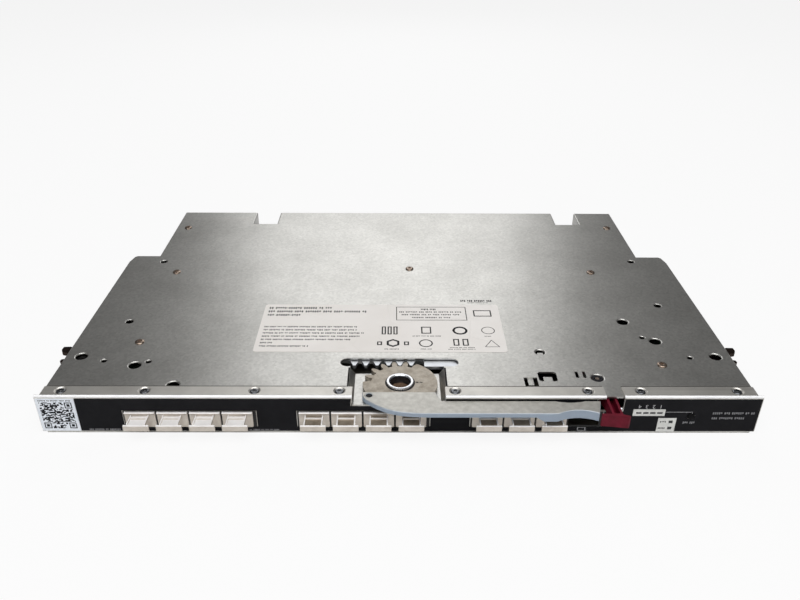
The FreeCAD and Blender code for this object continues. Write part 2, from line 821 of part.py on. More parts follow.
rivets = []
for i, (x, y) in enumerate(rivet_places):
    pin = rod(x, y, lever_low, lever_high - 0.05, 1.75)
    pin = pin.fuse(rod(x, y, lever_high - 0.5, lever_high - 0.05, 2.6))
    if i == 0:
        pin = pin.cut(rod(x, y, 18, 25, 1.25))
    rivets.append(pin.removeSplitter())
save("handle_rivets", rivets)

# Pivot bushing, a hollow cup clinched into the pocket floor.
bush = turned(pivot_x, pivot_y, floor_top - 1.6, 22.4, 6.9)
bush = bush.fuse(rod(pivot_x, pivot_y, floor_top - 1.6, floor_top - sheet, 8.2))
bush = bush.fuse(rod(pivot_x, pivot_y, 22.4, 23.0, 7.6))
bush = bush.fuse(cone(pivot_x, pivot_y, 23.0, 23.5, 7.6, 7.0))
bush = bush.cut(rod(pivot_x, pivot_y, floor_top - 1.2, 30, 5.4))
bush = bush.cut(cone(pivot_x, pivot_y, 22.7, 23.6, 5.4, 6.5))
save("pivot_bushing", bush.removeSplitter())

# Release latch: hub on its screw, channel stem through the face and a thumb pad.
hub = rod(latch_x, latch_y, 16.1, 22.4, 5.6)
stem_plan = [(107.4, 22.0), (112.0, 1.2), (112.3, -11.6), (118.0, -11.8), (117.9, 1.0), (116.4, 21.0)]
stem = prism(stem_plan, 16.1, 22.4)
channel = prism([(113.4, 12.5), (113.5, -11.2), (116.7, -11.3), (116.6, 12.5)], 18.0, 23.0)
stem = stem.cut(channel)
pad_profile = [
    (106.5, -12.2),
    (107.6, -12.1),
    (112.4, -12.3),
    (117.9, -13.0),
    (120.9, -13.9),
    (121.2, -14.9),
    (120.4, -15.3),
    (113.0, -14.2),
    (106.6, -13.4),
]
pad = prism(pad_profile, 15.6, 23.0)
web = prism([(112.3, -11.4), (112.2, -12.6), (118.1, -13.2), (118.0, -11.4)], 16.1, 22.4)
latch = hub.fuse([stem, web, pad])
latch = latch.cut(bore(latch_x, latch_y, 14, 24, latch_bore + running_gap))
latch = latch.removeSplitter()
save("release_latch", latch)

bolt = rod(latch_x, latch_y, 15.2, 16.0, latch_bore)
bolt = bolt.fuse(turned(latch_x, latch_y, 16.0, 22.7, latch_bore))
bolt = bolt.fuse(rod(latch_x, latch_y, 22.6, 23.5, 3.2))
bolt = bolt.cut(box(latch_x - 2.0, latch_y - 0.35, 23.0, latch_x + 2.0, latch_y + 0.35, 24.0))
save("latch_screw", bolt.removeSplitter())
bracket = box(latch_x - 6.0, latch_y - 5.0, 15.2, latch_x + 6.0, 30.0, 16.0)
bracket = bracket.fuse(box(latch_x - 6.0, 29.2, 15.2, latch_x + 6.0, 30.0, pan_top - sheet))
bracket = bracket.fuse(box(latch_x - 6.0, 29.2, 22.2, latch_x + 6.0, 33.0, pan_top - sheet))
bracket = bracket.cut(rod(latch_x, latch_y, 14, 17, latch_bore))
save("latch_bracket", bracket.removeSplitter())

stud_side = [
    (-6.1, 20.2),
    (-5.6, 19.7),
    (-4.8, 19.7),
    (-4.3, 20.2),
    (-4.3, 21.0),
    (-4.8, 21.5),
    (-5.6, 21.5),
    (-6.1, 21.0),
]
save("latch_stud", prism_x(stud_side, 117.6, 118.6))

# Coil spring between the stem and the pan's tab.
spring_y = 8.0
spring_z = 19.2
spring_from = 117.5
turns = 5
coil_r = 1.7
wire_r = 0.3
length = spring_seat_x - spring_from - 2 * wire_r
path = []
for i in range(turns * 8 + 1):
    a = 2.0 * math.pi * i / 8.0
    x = spring_from + wire_r + length * i / (turns * 8.0)
    path.append(V(x, spring_y + coil_r * math.cos(a), spring_z + coil_r * math.sin(a)))
section = []
for i in range(7):
    a = 2.0 * math.pi * i / 6.0
    section.append(V(path[0].x + wire_r * math.cos(a), path[0].y + wire_r * math.sin(a), path[0].z))
coil = Part.Wire(Part.makePolygon(path)).makePipeShell([Part.makePolygon(section)], True, False, 1)
save("latch_spring", coil)

# Mode button: a domed cap that slides in the face.
button = rod_y(button_x, button_z, -0.9, 3.4, button_radius)
button = button.fuse(rod_y(button_x, button_z, face_sheet + 0.1, 2.6, button_radius + 0.9))
save("mode_button", button.removeSplitter())
switch = box(button_x - 3.0, 5.0, board_high + 2.0, button_x + 3.0, 9.0, button_z + 3.0)
switch = switch.fuse(box(button_x - 3.0, 5.0, board_high, button_x + 3.0, 14.0, board_high + 2.5))
save("button_switch", switch.removeSplitter())


def screw(x, y, z_top, head_r, head_h, shank_r, z_end, sunk):
    if sunk:
        head = cone(x, y, z_top - head_h, z_top, shank_r, head_r)
    else:
        head = rod(x, y, z_top - head_h, z_top - 0.3, head_r)
        head = head.fuse(cone(x, y, z_top - 0.3, z_top, head_r, head_r - 0.4))
    body = head.fuse(rod(x, y, z_end, z_top - head_h + 0.1, shank_r))
    return body.removeSplitter()


save("flange_screws", [screw(x, 5.3, face_top, 2.7, 0.95, 1.3, 20.5, True) for x in flange_screws])
pans = []
for x, y in pan_screws:
    end = 17.5 if (x, y) in tall_pillars else 22.7
    pans.append(screw(x, y, pan_top + 0.9, 2.8, 0.9, 1.5, end, False))
save("pan_screws", pans)
undersides = []
for x, y in cover_screws:
    part = screw(0, 0, 0, 2.7, 0.9, 1.3, -4.6, True)
    part.rotate(V(0, 0, 0), V(1, 0, 0), 180)
    part.translate(V(x, y, 0.05))
    undersides.append(part)
save("cover_screws", undersides)
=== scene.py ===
import bmesh
import bpy
import json
import math
import random
from mathutils import Matrix, Vector

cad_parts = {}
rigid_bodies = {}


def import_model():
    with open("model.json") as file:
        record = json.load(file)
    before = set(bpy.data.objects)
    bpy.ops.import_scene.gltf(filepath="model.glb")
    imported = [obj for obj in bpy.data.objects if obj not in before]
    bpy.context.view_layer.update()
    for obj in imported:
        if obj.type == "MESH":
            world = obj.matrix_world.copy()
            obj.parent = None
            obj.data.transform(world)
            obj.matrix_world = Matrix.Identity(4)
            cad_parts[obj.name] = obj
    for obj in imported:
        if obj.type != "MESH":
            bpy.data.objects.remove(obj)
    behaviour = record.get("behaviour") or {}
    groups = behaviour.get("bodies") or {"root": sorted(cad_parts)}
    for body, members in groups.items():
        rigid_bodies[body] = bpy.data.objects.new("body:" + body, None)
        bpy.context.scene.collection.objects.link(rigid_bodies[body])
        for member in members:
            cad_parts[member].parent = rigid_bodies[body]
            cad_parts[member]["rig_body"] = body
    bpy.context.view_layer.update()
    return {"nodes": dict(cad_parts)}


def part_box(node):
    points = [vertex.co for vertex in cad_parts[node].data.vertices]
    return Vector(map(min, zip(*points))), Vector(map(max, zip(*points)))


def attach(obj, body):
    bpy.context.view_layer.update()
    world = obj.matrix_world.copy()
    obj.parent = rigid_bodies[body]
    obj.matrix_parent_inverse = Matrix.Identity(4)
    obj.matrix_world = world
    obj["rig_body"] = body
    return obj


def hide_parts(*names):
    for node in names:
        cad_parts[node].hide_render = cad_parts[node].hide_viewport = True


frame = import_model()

# Camera at the photograph's angle: in front of the module, a hair left of its
# middle, looking down on the lid at about 31 degrees.
camera_place = (-0.003796, -0.456761, 0.269279)
camera_yaw = math.radians(-0.552)
camera_tilt = math.radians(90.0 - 30.984)
camera_roll = math.radians(0.406)
lens = bpy.data.cameras.new("camera")
lens.sensor_width = 36.0
lens.lens = 34.009
lens.shift_x = 0.00044
lens.shift_y = 0.0274
lens.clip_start = 0.01
camera = bpy.data.objects.new("camera", lens)
camera.matrix_world = (
    Matrix.Translation(camera_place)
    @ Matrix.Rotation(camera_yaw, 4, "Z")
    @ Matrix.Rotation(camera_tilt, 4, "X")
    @ Matrix.Rotation(camera_roll, 4, "Z")
)
bpy.context.scene.collection.objects.link(camera)
bpy.context.scene.camera = camera

# Base pan, the big folded sheet that everything hangs in: zinc coated steel, punched,
# dished round its holes, pressed down into a tray for the lever, and folded at its rim.
mm = 0.001
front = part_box("faceplate")[0][1] / mm
pan_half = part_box("base_pan")[1][0] / mm
pan_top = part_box("base_pan")[1][2] / mm
rear_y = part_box("base_pan")[1][1] / mm - front
rear_half = 175.4
step_y = 173.5
notch_y = 232.5
sheet = 1.0
pivot = (0.0, 16.6)


def free_hands():
    # Nothing stays selected, so the next tool works on the new piece alone.
    if bpy.context.mode != "OBJECT":
        bpy.ops.object.mode_set(mode="OBJECT")
    bpy.ops.object.select_all(action="DESELECT")


def take(piece):
    # The next tool works on this piece.
    free_hands()
    piece.select_set(True)
    bpy.context.view_layer.objects.active = piece


def open_up(piece, choice):
    # Opens a piece for mesh work, with all or nothing of it selected.
    take(piece)
    bpy.ops.object.mode_set(mode="EDIT")
    bpy.ops.mesh.select_all(action=choice)


def settle():
    # Writes the selected piece's place, turn and size into its mesh.
    bpy.ops.object.transform_apply(location=True, rotation=True, scale=True)


def twin(source, name):
    # A second piece with its own copy of the mesh.
    piece = bpy.data.objects.new(name, source.data.copy())
    bpy.context.scene.collection.objects.link(piece)
    take(piece)
    return piece


def middle_of(node):
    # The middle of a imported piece's box, in metres.
    low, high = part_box(node)
    return [(a + b) / 2 for a, b in zip(low, high)]


def spot(a, b, c, way):
    # A place in the frame from millimetres: the outline's two numbers, then the depth.
    x, y, z = {"z": (a, b, c), "y": (a, c, b), "x": (c, a, b)}[way]
    return Vector((x * mm, (front + y) * mm, z * mm))


def outward(piece):
    # Turns a piece right side out if its faces look inward.
    probe = bmesh.new()
    probe.from_mesh(piece.data)
    inside_out = probe.calc_volume(signed=True) < 0
    probe.free()
    if inside_out:
        open_up(piece, "SELECT")
        bpy.ops.mesh.flip_normals()
        free_hands()
    return piece


def slab(points, low, high, way="z"):
    # A plate cut to an outline: a filled ring, its corners moved out, drawn up to thickness.
    free_hands()
    bpy.ops.mesh.primitive_circle_add(vertices=len(points), radius=mm, fill_type="NGON")
    piece = bpy.context.object
    open_up(piece, "DESELECT")
    mesh = bmesh.from_edit_mesh(piece.data)
    for i, (a, b) in enumerate(points):
        mesh.verts.ensure_lookup_table()
        mesh.verts[i].select_set(True)
        bpy.ops.transform.translate(value=spot(a, b, low, way) - mesh.verts[i].co)
        mesh.verts.ensure_lookup_table()
        mesh.verts[i].select_set(False)
    bpy.ops.mesh.select_all(action="SELECT")
    rise = spot(0, 0, high, way) - spot(0, 0, low, way)
    bpy.ops.mesh.extrude_region_move(TRANSFORM_OT_translate={"value": rise})
    bpy.ops.mesh.select_all(action="SELECT")
    bpy.ops.mesh.normals_make_consistent(inside=False)
    free_hands()
    return outward(piece)


def block(x0, y0, z0, x1, y1, z1):
    # A plain box from its lower to its upper corner.
    free_hands()
    middle = ((x0 + x1) / 2 * mm, (front + (y0 + y1) / 2) * mm, (z0 + z1) / 2 * mm)
    bpy.ops.mesh.primitive_cube_add(size=1, location=middle)
    bpy.context.object.scale = ((x1 - x0) * mm, (y1 - y0) * mm, (z1 - z0) * mm)
    settle()
    return bpy.context.object


def turned(x, y, rings, sides=64, filled=True):
    # A round piece drawn up through rings of radius and height, as on a lathe.
    free_hands()
    radius, height = rings[0]
    bpy.ops.mesh.primitive_circle_add(
        vertices=sides,
        radius=radius * mm,
        fill_type="NGON" if filled else "NOTHING",
        location=spot(x, y, height, "z"),
    )
    settle()
    piece = bpy.context.object
    open_up(piece, "SELECT")
    for r, h in rings[1:]:
        rise = (0, 0, (h - height) * mm)
        bpy.ops.mesh.extrude_region_move(TRANSFORM_OT_translate={"value": rise})
        grow = r / radius
        bpy.ops.transform.resize(value=(grow, grow, 1), center_override=spot(x, y, h, "z"))
        radius, height = r, h
    bpy.ops.mesh.select_all(action="SELECT")
    bpy.ops.mesh.remove_doubles(threshold=0.000001)
    bpy.ops.mesh.normals_make_consistent(inside=False)
    free_hands()
    return outward(piece)


def rounded(x0, y0, x1, y1, r, z0, z1):
    # A plate with round corners.
    corners = (
        (x0 + r, y0 + r, 180),
        (x1 - r, y0 + r, 270),
        (x1 - r, y1 - r, 0),
        (x0 + r, y1 - r, 90),
    )
    points = []
    for x, y, start in corners:
        for i in range(9):
            a = math.radians(start + 11.25 * i)
            points.append((x + r * math.cos(a), y + r * math.sin(a)))
    return slab(points, z0, z1)


def merge(pieces):
    # Joins pieces into the first of them.
    free_hands()
    for piece in pieces:
        piece.select_set(True)
    bpy.context.view_layer.objects.active = pieces[0]
    if len(pieces) > 1:
        bpy.ops.object.join()
    return pieces[0]


def change(piece, kind, **settings):
    # Puts a modifier on the piece with these settings and applies it.
    take(piece)
    step = piece.modifiers.new(kind, kind)
    for name, value in settings.items():
        setattr(step, name, value)
    bpy.ops.object.modifier_apply(modifier=step.name)


def bevel(piece, width, rounds, sharp):
    # Rounds the edges that are sharper than an angle.
    limit = math.radians(sharp)
    change(
        piece, "BEVEL", width=width * mm, segments=rounds, limit_method="ANGLE", angle_limit=limit
    )


def work(piece, tools):
    # Cuts the tools out of the piece.
    tool = merge(tools)
    change(piece, "BOOLEAN", operation="DIFFERENCE", solver="EXACT", object=tool)
    bpy.data.objects.remove(tool, do_unlink=True)


def ease(piece, width, rounds=2, sharp=35):
    # Breaks the sharp edges, smooths the rest and keeps the flats flat.
    if width:
        bevel(piece, width, rounds, sharp)
    take(piece)
    bpy.ops.object.shade_smooth_by_angle(angle=math.radians(40))
    change(piece, "WEIGHTED_NORMAL", keep_sharp=True)
    return piece


def fit(piece, name, material, nodes=(), body="chassis"):
    # Hands a finished piece to the frame: name, finish, body, imported shape.
    piece.name = name
    piece.data.name = name
    piece.data.materials.clear()
    piece.data.materials.append(material)
    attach(piece, body)
    if nodes:
        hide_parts(*nodes)
    return piece


def tint(red, green, blue):
    # A colour as read off the photograph, in the linear values that the shader takes.
    linear = []
    for part in (red, green, blue):
        part = part / 255
        linear.append(part / 12.92 if part <= 0.04045 else ((part + 0.055) / 1.055) ** 2.4)
    return (linear[0], linear[1], linear[2], 1)


def shader_node(material, kind, settings):
    # A new node with its inputs set by name.
    made = material.node_tree.nodes.new("ShaderNode" + kind)
    for name, value in settings.items():
        made.inputs[name].default_value = value
    return made


def finish(name, light, dark, metal, rough, patch, grain, relief, coat=0.0, specular=0.5):
    # Slow patches between two tones, a fine grain in the shine and a little relief.
    material = bpy.data.materials.new(name)
    material.use_nodes = True
    nodes = material.node_tree.nodes
    join = material.node_tree.links.new
    shader = nodes["Principled BSDF"]
    shader.inputs["Metallic"].default_value = metal
    shader.inputs["Specular IOR Level"].default_value = specular
    shader.inputs["Coat Weight"].default_value = coat
    shader.inputs["Coat Roughness"].default_value = 0.15
    where = nodes.new("ShaderNodeTexCoord")
    cloud = shader_node(material, "TexNoise", {"Scale": patch, "Detail": 5, "Roughness": 0.6})
    tone = nodes.new("ShaderNodeValToRGB")
    tone.color_ramp.elements[0].position = 0.32
    tone.color_ramp.elements[0].color = tint(*dark)
    tone.color_ramp.elements[1].position = 0.68
    tone.color_ramp.elements[1].color = tint(*light)
    dust = shader_node(material, "TexNoise", {"Scale": grain, "Detail": 3})
    spread = 0.07
    shine = shader_node(material, "MapRange", {"To Min": rough - spread, "To Max": rough + spread})
    bump = shader_node(material, "Bump", {"Strength": relief, "Distance": 0.0002})
    join(where.outputs["Object"], cloud.inputs["Vector"])
    join(where.outputs["Object"], dust.inputs["Vector"])
    join(cloud.outputs["Fac"], tone.inputs["Fac"])
    join(tone.outputs["Color"], shader.inputs["Base Color"])
    join(dust.outputs["Fac"], shine.inputs["Value"])
    join(shine.outputs["Result"], shader.inputs["Roughness"])
    join(dust.outputs["Fac"], bump.inputs["Height"])
    join(bump.outputs["Normal"], shader.inputs["Normal"])
    return material


def darken(material, pattern):
    # Multiplies the material's colour by a pattern near one.
    join = material.node_tree.links.new
    colour = material.node_tree.nodes["Principled BSDF"].inputs["Base Color"]
    mixed = material.node_tree.nodes.new("ShaderNodeMix")
    mixed.data_type = "RGBA"
    mixed.blend_type = "MULTIPLY"
    mixed.inputs["Factor"].default_value = 1.0
    join(colour.links[0].from_socket, mixed.inputs["A"])
    join(pattern, mixed.inputs["B"])
    join(mixed.outputs["Result"], colour)


def paint(node, material):
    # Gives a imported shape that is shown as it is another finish.
    shown = frame["nodes"][node].data.materials
    shown.clear()
    shown.append(material)


def zinc_finish():
    # Fine zinc flowers: each small crystal lies a little lighter or darker than the next.
    material = finish("zinc_coat", (208, 207, 203), (192, 191, 187), 1.0, 0.37, 30, 1500, 0.14)
    nodes = material.node_tree.nodes
    join = material.node_tree.links.new
    where = nodes.new("ShaderNodeTexCoord")
    flowers = shader_node(material, "TexVoronoi", {"Scale": 750})
    grey = nodes.new("ShaderNodeRGBToBW")
    spread = shader_node(material, "MapRange", {"To Min": 0.86, "To Max": 1.08})
    join(where.outputs["Object"], flowers.inputs["Vector"])
    join(flowers.outputs["Color"], grey.inputs["Color"])
    join(grey.outputs["Val"], spread.inputs["Value"])
    darken(material, spread.outputs["Result"])
    return material


zinc = zinc_finish()
mouth_y = 1.3
outline = [
    (-pan_half, mouth_y),
    (pan_half, mouth_y),
    (pan_half, 164.0),
    (193.4, 172.0),
    (191.6, step_y),
    (rear_half, step_y),
    (rear_half, rear_y),
    (145.5, rear_y),
    (145.5, notch_y),
    (126.7, notch_y),
    (126.7, rear_y),
    (-97.2, rear_y),
    (-97.2, notch_y),
    (-116.0, notch_y),
    (-116.0, rear_y),
    (-rear_half, rear_y),
    (-rear_half, step_y),
    (-191.6, step_y),
    (-193.4, 172.0),
    (-pan_half, 164.0),
]
pan = slab(outline, sheet, pan_top)
open_up(pan, "DESELECT")
mesh = bmesh.from_edit_mesh(pan.data)
for face in mesh.faces:
    under = face.normal.z < -0.5
    mouth = face.normal.y < -0.5 and face.calc_center_median().y < (front + 2) * mm
    face.select_set(under or mouth)
bmesh.update_edit_mesh(pan.data)
bpy.ops.mesh.delete(type="FACE")
bevel(pan, 0.9, 4, 60)
change(pan, "SOLIDIFY", thickness=sheet * mm, offset=-1)

tray_left = -28.5
tray_right = 25.3
tray_floor = 19.6
tool_low = 22.5
tool_high = 25
wide_holes = [
    (-185.7, 40.1, 3.4),
    (-152.1, 31.1, 3.4),
    (185.6, 40.7, 3.4),
    (155.1, 57.6, 3.4),
    (141.2, 80.5, 3.3),
    (-125.5, 12.0, 3.3),
    (111.1, 19.1, 3.4),
    (83.1, 45.4, 2.7),
]
small_holes = [
    (-169.9, 164.0, 2.3),
    (-169.6, 79.7, 2.3),
    (169.6, 101.2, 2.3),
    (169.4, 165.9, 2.3),
    (-171.2, 35.5, 1.6),
    (-145.3, 34.8, 1.6),
    (148.3, 61.8, 1.6),
    (170.2, 39.6, 1.6),
]
pan_screw_places = [
    (-156.6, 147.4),
    (-166.3, 223.9),
    (-156.3, 55.6),
    (151.5, 32.0),
    (166.0, 225.4),
    (136.0, 148.3),
    (7.6, 153.3),
]
# Each rim's flare and its height.
wide_rim = ((0.0, 23.3), (0.1, 23.6), (0.3, 23.82), (0.6, 23.95), (0.95, 24.02))
small_rim = ((0.0, 23.5), (0.12, 23.78), (0.34, 23.94), (0.6, 24.02))


def punch(x, y, r, rim, sides):
    # A round tool through the sheet that flares with the hole's dished rim.
    rings = [(r, tool_low)] + [(r + out, z) for out, z in rim]
    rings.append((rings[-1][0], tool_high))
    return turned(x, y, rings, sides)


punches = [punch(x, y, r, wide_rim, 48) for x, y, r in wide_holes]
punches += [punch(x, y, r, small_rim, 32) for x, y, r in small_holes]
punches += [punch(x, y, 1.6, (), 24) for x, y in pan_screw_places]
work(pan, punches)
slot_outline = (-34.5, 30.6, 34.0, 38.6, 4.0)
work(pan, [rounded(*slot_outline, tool_low, tool_high)])
# The rim of the long slot is coined down to a shallow slope.
coin_top = 24.05
coin = rounded(*slot_outline, 23.72, coin_top)
open_up(coin, "DESELECT")
mesh = bmesh.from_edit_mesh(coin.data)
for corner in mesh.verts:
    corner.select_set(corner.co.z > 24.0 * mm)
mesh.select_flush_mode()
bmesh.update_edit_mesh(coin.data)
bpy.ops.transform.resize(value=(1.06, 1.5, 1), center_override=spot(-0.25, 34.6, coin_top, "z"))
work(pan, [coin])
work(pan, [
    block(tray_left, 0, tool_low, tray_right, 31.5, tool_high),
    block(69.4, 9.6, tool_low, 77.0, 19.2, tool_high),
    block(99.2, 19.0, tool_low, 101.0, 25.2, tool_high),
    block(103.4, 19.0, tool_low, 105.2, 25.2, tool_high),
    block(-196.5, 35.5, 16.4, -193.0, 67.5, 20.1),
    block(193.0, 35.5, 16.4, 196.5, 67.5, 20.1),
    block(-92.0, rear_y - 3, 2.0, 122.0, rear_y + 1, 20.5),
    rounded(77.9, 15.6, 88.5, 24.8, 1.8, tool_low, tool_high),
])
# The tray's own sheet, cut back beside its floor so that only the floor reaches forward.
tray_foot_left = -26.0
tray_foot_right = 22.9
tray = slab(
    [
        (tray_left - 1.0, pan_top),
        (tray_left, pan_top),
        (-25.5, tray_floor),
        (22.4, tray_floor),
        (tray_right, pan_top),
        (tray_right + 1.0, pan_top),
        (tray_right + 1.0, pan_top - sheet),
        (tray_foot_right, tray_floor - sheet),
        (tray_foot_left, tray_floor - sheet),
        (tray_left - 1.0, pan_top - sheet),
    ],
    -0.2,
    29.0,
    "y",
)
work(tray, [
    block(-60, -1, 10, tray_foot_left, mouth_y, 26),
    block(tray_foot_right, -1, 10, 60, mouth_y, 26),
])
work(tray, [
    block(-60, -1, 20.2, 60, mouth_y, 26),
    turned(*pivot, [(6.95, 17), (6.95, 21)], 64),
])
ease(tray, 0.25, 3)
# Lugs seen in the lanced windows, and the tab behind the latch's spring.
lugs = [
    ease(block(71.6, 12.6, 22.4, 74.8, 19.3, 23.4), 0.2),
    ease(block(80.6, 15.3, 23.0, 85.7, 19.9, 24.0), 0.2),
    ease(block(81.3, 42.5, 22.8, 84.9, 45.3, 23.5), 0.2),
    ease(block(126.6, 4.5, 16.2, 127.6, 11.5, 23.2), 0.2),
]
ease(pan, 0.12, 2)
pan = merge([pan, tray] + lugs)
fit(pan, "base_pan_sheet", zinc, ["base_pan"])

# Bottom cover: the same zinc coated sheet, cut flat to the pan's outline. It is held
# by eight sunk screws, and its edges show as a thin bright line under the module.
cover_screw_places = []
for x, y in ((172.0, 20.0), (60.0, 88.0), (172.0, 120.0), (60.0, 205.0)):
    cover_screw_places += [(-x, y), (x, y)]
cover_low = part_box("bottom_cover")[0][2] / mm
cover_outline = [(x, 0.1 if y == mouth_y else y) for x, y in outline]
cover = slab(cover_outline, cover_low, cover_low + sheet)
seat = [(2.9, -1), (2.9, 0.02), (1.7, 0.9), (1.7, 2)]
work(cover, [turned(x, y, seat, 32) for x, y in cover_screw_places])
ease(cover, 0.15)
fit(cover, "bottom_cover_sheet", zinc, ["bottom_cover"])

# Faceplate: one strip of brighter brushed steel, folded back along its top into a
# flange and along its foot, dimpled where the flange screws sit, and pierced for the ports.
face_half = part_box("faceplate")[1][0] / mm
face_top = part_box("faceplate")[1][2] / mm
face_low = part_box("faceplate")[0][2] / mm
face_sheet = 1.2
flange_back = 9.0
flange_screw_x = [-184.7, -139.2, -79.5, -33.2, 30.1, 102.7, 131.7, 184.7]
flange_screw_y = 5.3
group_x = [-115.5, -20.5, 74.5]
port_pitch = 17.7


def flange_finish():
    # Rolled sheet: long faint streaks along the strip over a fine satin grain.
    material = finish("flange_steel", (228, 225, 219), (210, 207, 201), 1.0, 0.42, 60, 1800, 0.1)
    nodes = material.node_tree.nodes
    join = material.node_tree.links.new
    where = nodes.new("ShaderNodeTexCoord")
    along = shader_node(material, "Mapping", {"Scale": (6, 900, 900)})
    streak = shader_node(material, "TexNoise", {"Scale": 1.0})
    spread = shader_node(material, "MapRange", {"To Min": 0.38, "To Max": 0.56})
    join(where.outputs["Object"], along.inputs["Vector"])
    join(along.outputs["Vector"], streak.inputs["Vector"])
    join(streak.outputs["Fac"], spread.inputs["Value"])
    join(spread.outputs["Result"], nodes["Principled BSDF"].inputs["Roughness"])
    return material


flange_steel = flange_finish()
flange_sheet = 1.0
bend_r = 1.5
profile = [
    (0.0, face_low),
    (flange_back, face_low),
    (flange_back, face_low + flange_sheet),
    (face_sheet, face_low + flange_sheet),
    (face_sheet, face_top - flange_sheet),
    (flange_back, face_top - flange_sheet),
    (flange_back, face_top),
]
for i in range(7):
    a = math.radians(90 + 15 * i)
    profile.append((bend_r + bend_r * math.cos(a), face_top - bend_r + bend_r * math.sin(a)))
plate = slab(profile, -face_half, face_half, "x")
lever_gap = [
    (tray_left + 2.3, 27.0),
    (tray_left + 2.3, 23.6),
    (-26.7, 18.5),
    (23.6, 18.5),
    (tray_right - 0.7, 23.6),
    (tray_right - 0.7, 27.0),
]
past_end = 200
openings = [slab(lever_gap, -1, 12, "y"), block(111.9, -1, 22.9, 121.9, 12, 27)]
openings += [
    block(-past_end, face_sheet, 0, -194.6, 12, 26),
    block(194.6, face_sheet, 0, past_end, 12, 26),
]
for gx in group_x:
    half = 2 * port_pitch + 0.4
    openings.append(block(gx - half, -1, 5.2, gx + half, 3, 15.1))
work(plate, openings)
work(plate, [
    block(-past_end, face_sheet, 0, -194.0, 12, 20),
    block(194.0, face_sheet, 0, past_end, 12, 20),
])
windows = [block(107.2, -1, 15.4, 121.9, 3, 23.05)]
lamp_slots = [(129.2 + 3.85 * i, 13.6, 3.0, 1.3) for i in range(4)]
link_slots = [(148.2, 2.8 + 4.3 * i, 2.3, 2.0) for i in range(2)]
play = 0.1
for x, z, w, h in lamp_slots + link_slots:
    windows.append(block(x - play, -1, z - play, x + w + play, 3, z + h + play))
dish = [(1.45, 22), (1.45, 23.7), (2.75, 24.35), (3.1, 24.8), (3.3, 24.94)]
dish += [(3.6, 25.02), (3.6, 27)]
windows += [turned(x, flange_screw_y, dish, 48) for x in flange_screw_x]
work(plate, windows)
hole = turned(0, 0, [(2.2, -4), (2.2, 4)], 40)
button_middle = middle_of("mode_button")
hole.matrix_world = (
    Matrix.Translation((button_middle[0], front * mm, button_middle[2]))
    @ Matrix.Rotation(math.radians(90), 4, "X")
    @ Matrix.Translation((0, -front * mm, 0))
)
work(plate, [hole])
ease(plate, 0.15)
fit(plate, "faceplate_sheet", flange_steel, ["faceplate"])
# The rolled edge over the face is given a near white finish as a painted highlight, and a
# dark strip laid on the pan where the flange ends is painted shade behind it.
bend_painted_highlight = finish("bend_painted_highlight", (252, 252, 252), (240, 240, 242), 0.15, 0.35, 60, 1800, 0.08)
# The plate's second finish is a painted highlight for the faces of the rolled bend.
plate.data.materials.append(bend_painted_highlight)
bend_end = (front + 1.6) * mm
bend_foot = (face_top - 2) * mm
for face in plate.data.polygons:
    rolled = -0.95 < face.normal.y < -0.15 and face.normal.z > 0.3
    if rolled and face.center.y < bend_end and face.center.z > bend_foot:
        face.material_index = 1
# A thin dark strip on the pan behind the flange is painted shade where the flange stands up from
# the lid.
shade_line_grey = finish("flange_edge_shade", (92, 90, 86), (70, 68, 64), 0.3, 0.6, 500, 2500, 0.1)
shade_strips = []
for x0, x1 in ((-193.5, -28.7), (25.5, 111.7), (122.1, 193.5)):
    shade_strips.append(block(x0, flange_back, pan_top, x1, 11.0, pan_top + 0.01))
fit(merge(shade_strips), "flange_shade_line", shade_line_grey)

# Front film: thin black plastic stuck on the face, satin with a fine orange peel. It
# is cut round the ports and the button, and its few pale marks are printed on.
film_black = finish(
    "film_black", (25, 25, 28), (18, 18, 21), 0.0, 0.5, 120, 2600, 0.12, specular=0.1
)
paint("front_film", film_black)
ink_white = finish("printed_white", (196, 196, 196), (150, 150, 154), 0.0, 0.6, 900, 4000, 0.05)
film_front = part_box("front_film")[0][1] / mm - front
ink_height = 0.02
random.seed(7)


def printed(rows, low, high, way):
    # Flat printed marks: one thin tile for each left, right, bottom and top edge.
    tiles = []
    for a0, a1, b0, b1 in rows:
        if way == "y":
            tiles.append(block(a0, low, b0, a1, high, b1))
        else:
            tiles.append(block(a0, b0, low, a1, b1, high))
    return merge(tiles)


def words(left, right, low, high, letter):
    # Marks in the rhythm of small print, that spell nothing.
    rows = []
    a = left
    while a < right - letter:
        for _ in range(random.randint(2, 7)):
            if a > right - letter:
                break
            rise = random.choice((0.0, 0.0, 0.25)) * (high - low)
            rows.append((a, a + letter * 0.62, low + rise, high))
            a += letter
        a += letter * 0.8
    return rows


def lines_of(rows):
    # Several lines of such marks, each with its left, right, bottom, top and letter width.
    return [mark for row in rows for mark in words(*row)]


def numeral(text, x, z, size):
    # A number on the film, upside down as all print on this side of the module is.
    free_hands()
    bpy.ops.object.text_add(rotation=(math.radians(90), math.radians(180), 0))
    piece = bpy.context.object
    piece.data.body = text
    piece.data.size = size * mm
    piece.data.align_x = "CENTER"
    piece.data.align_y = "CENTER"
    piece.data.extrude = 0.01 * mm
    bpy.ops.object.convert(target="MESH")
    piece.location = spot(x, z, film_front - 0.005, "y")
    settle()
    return piece


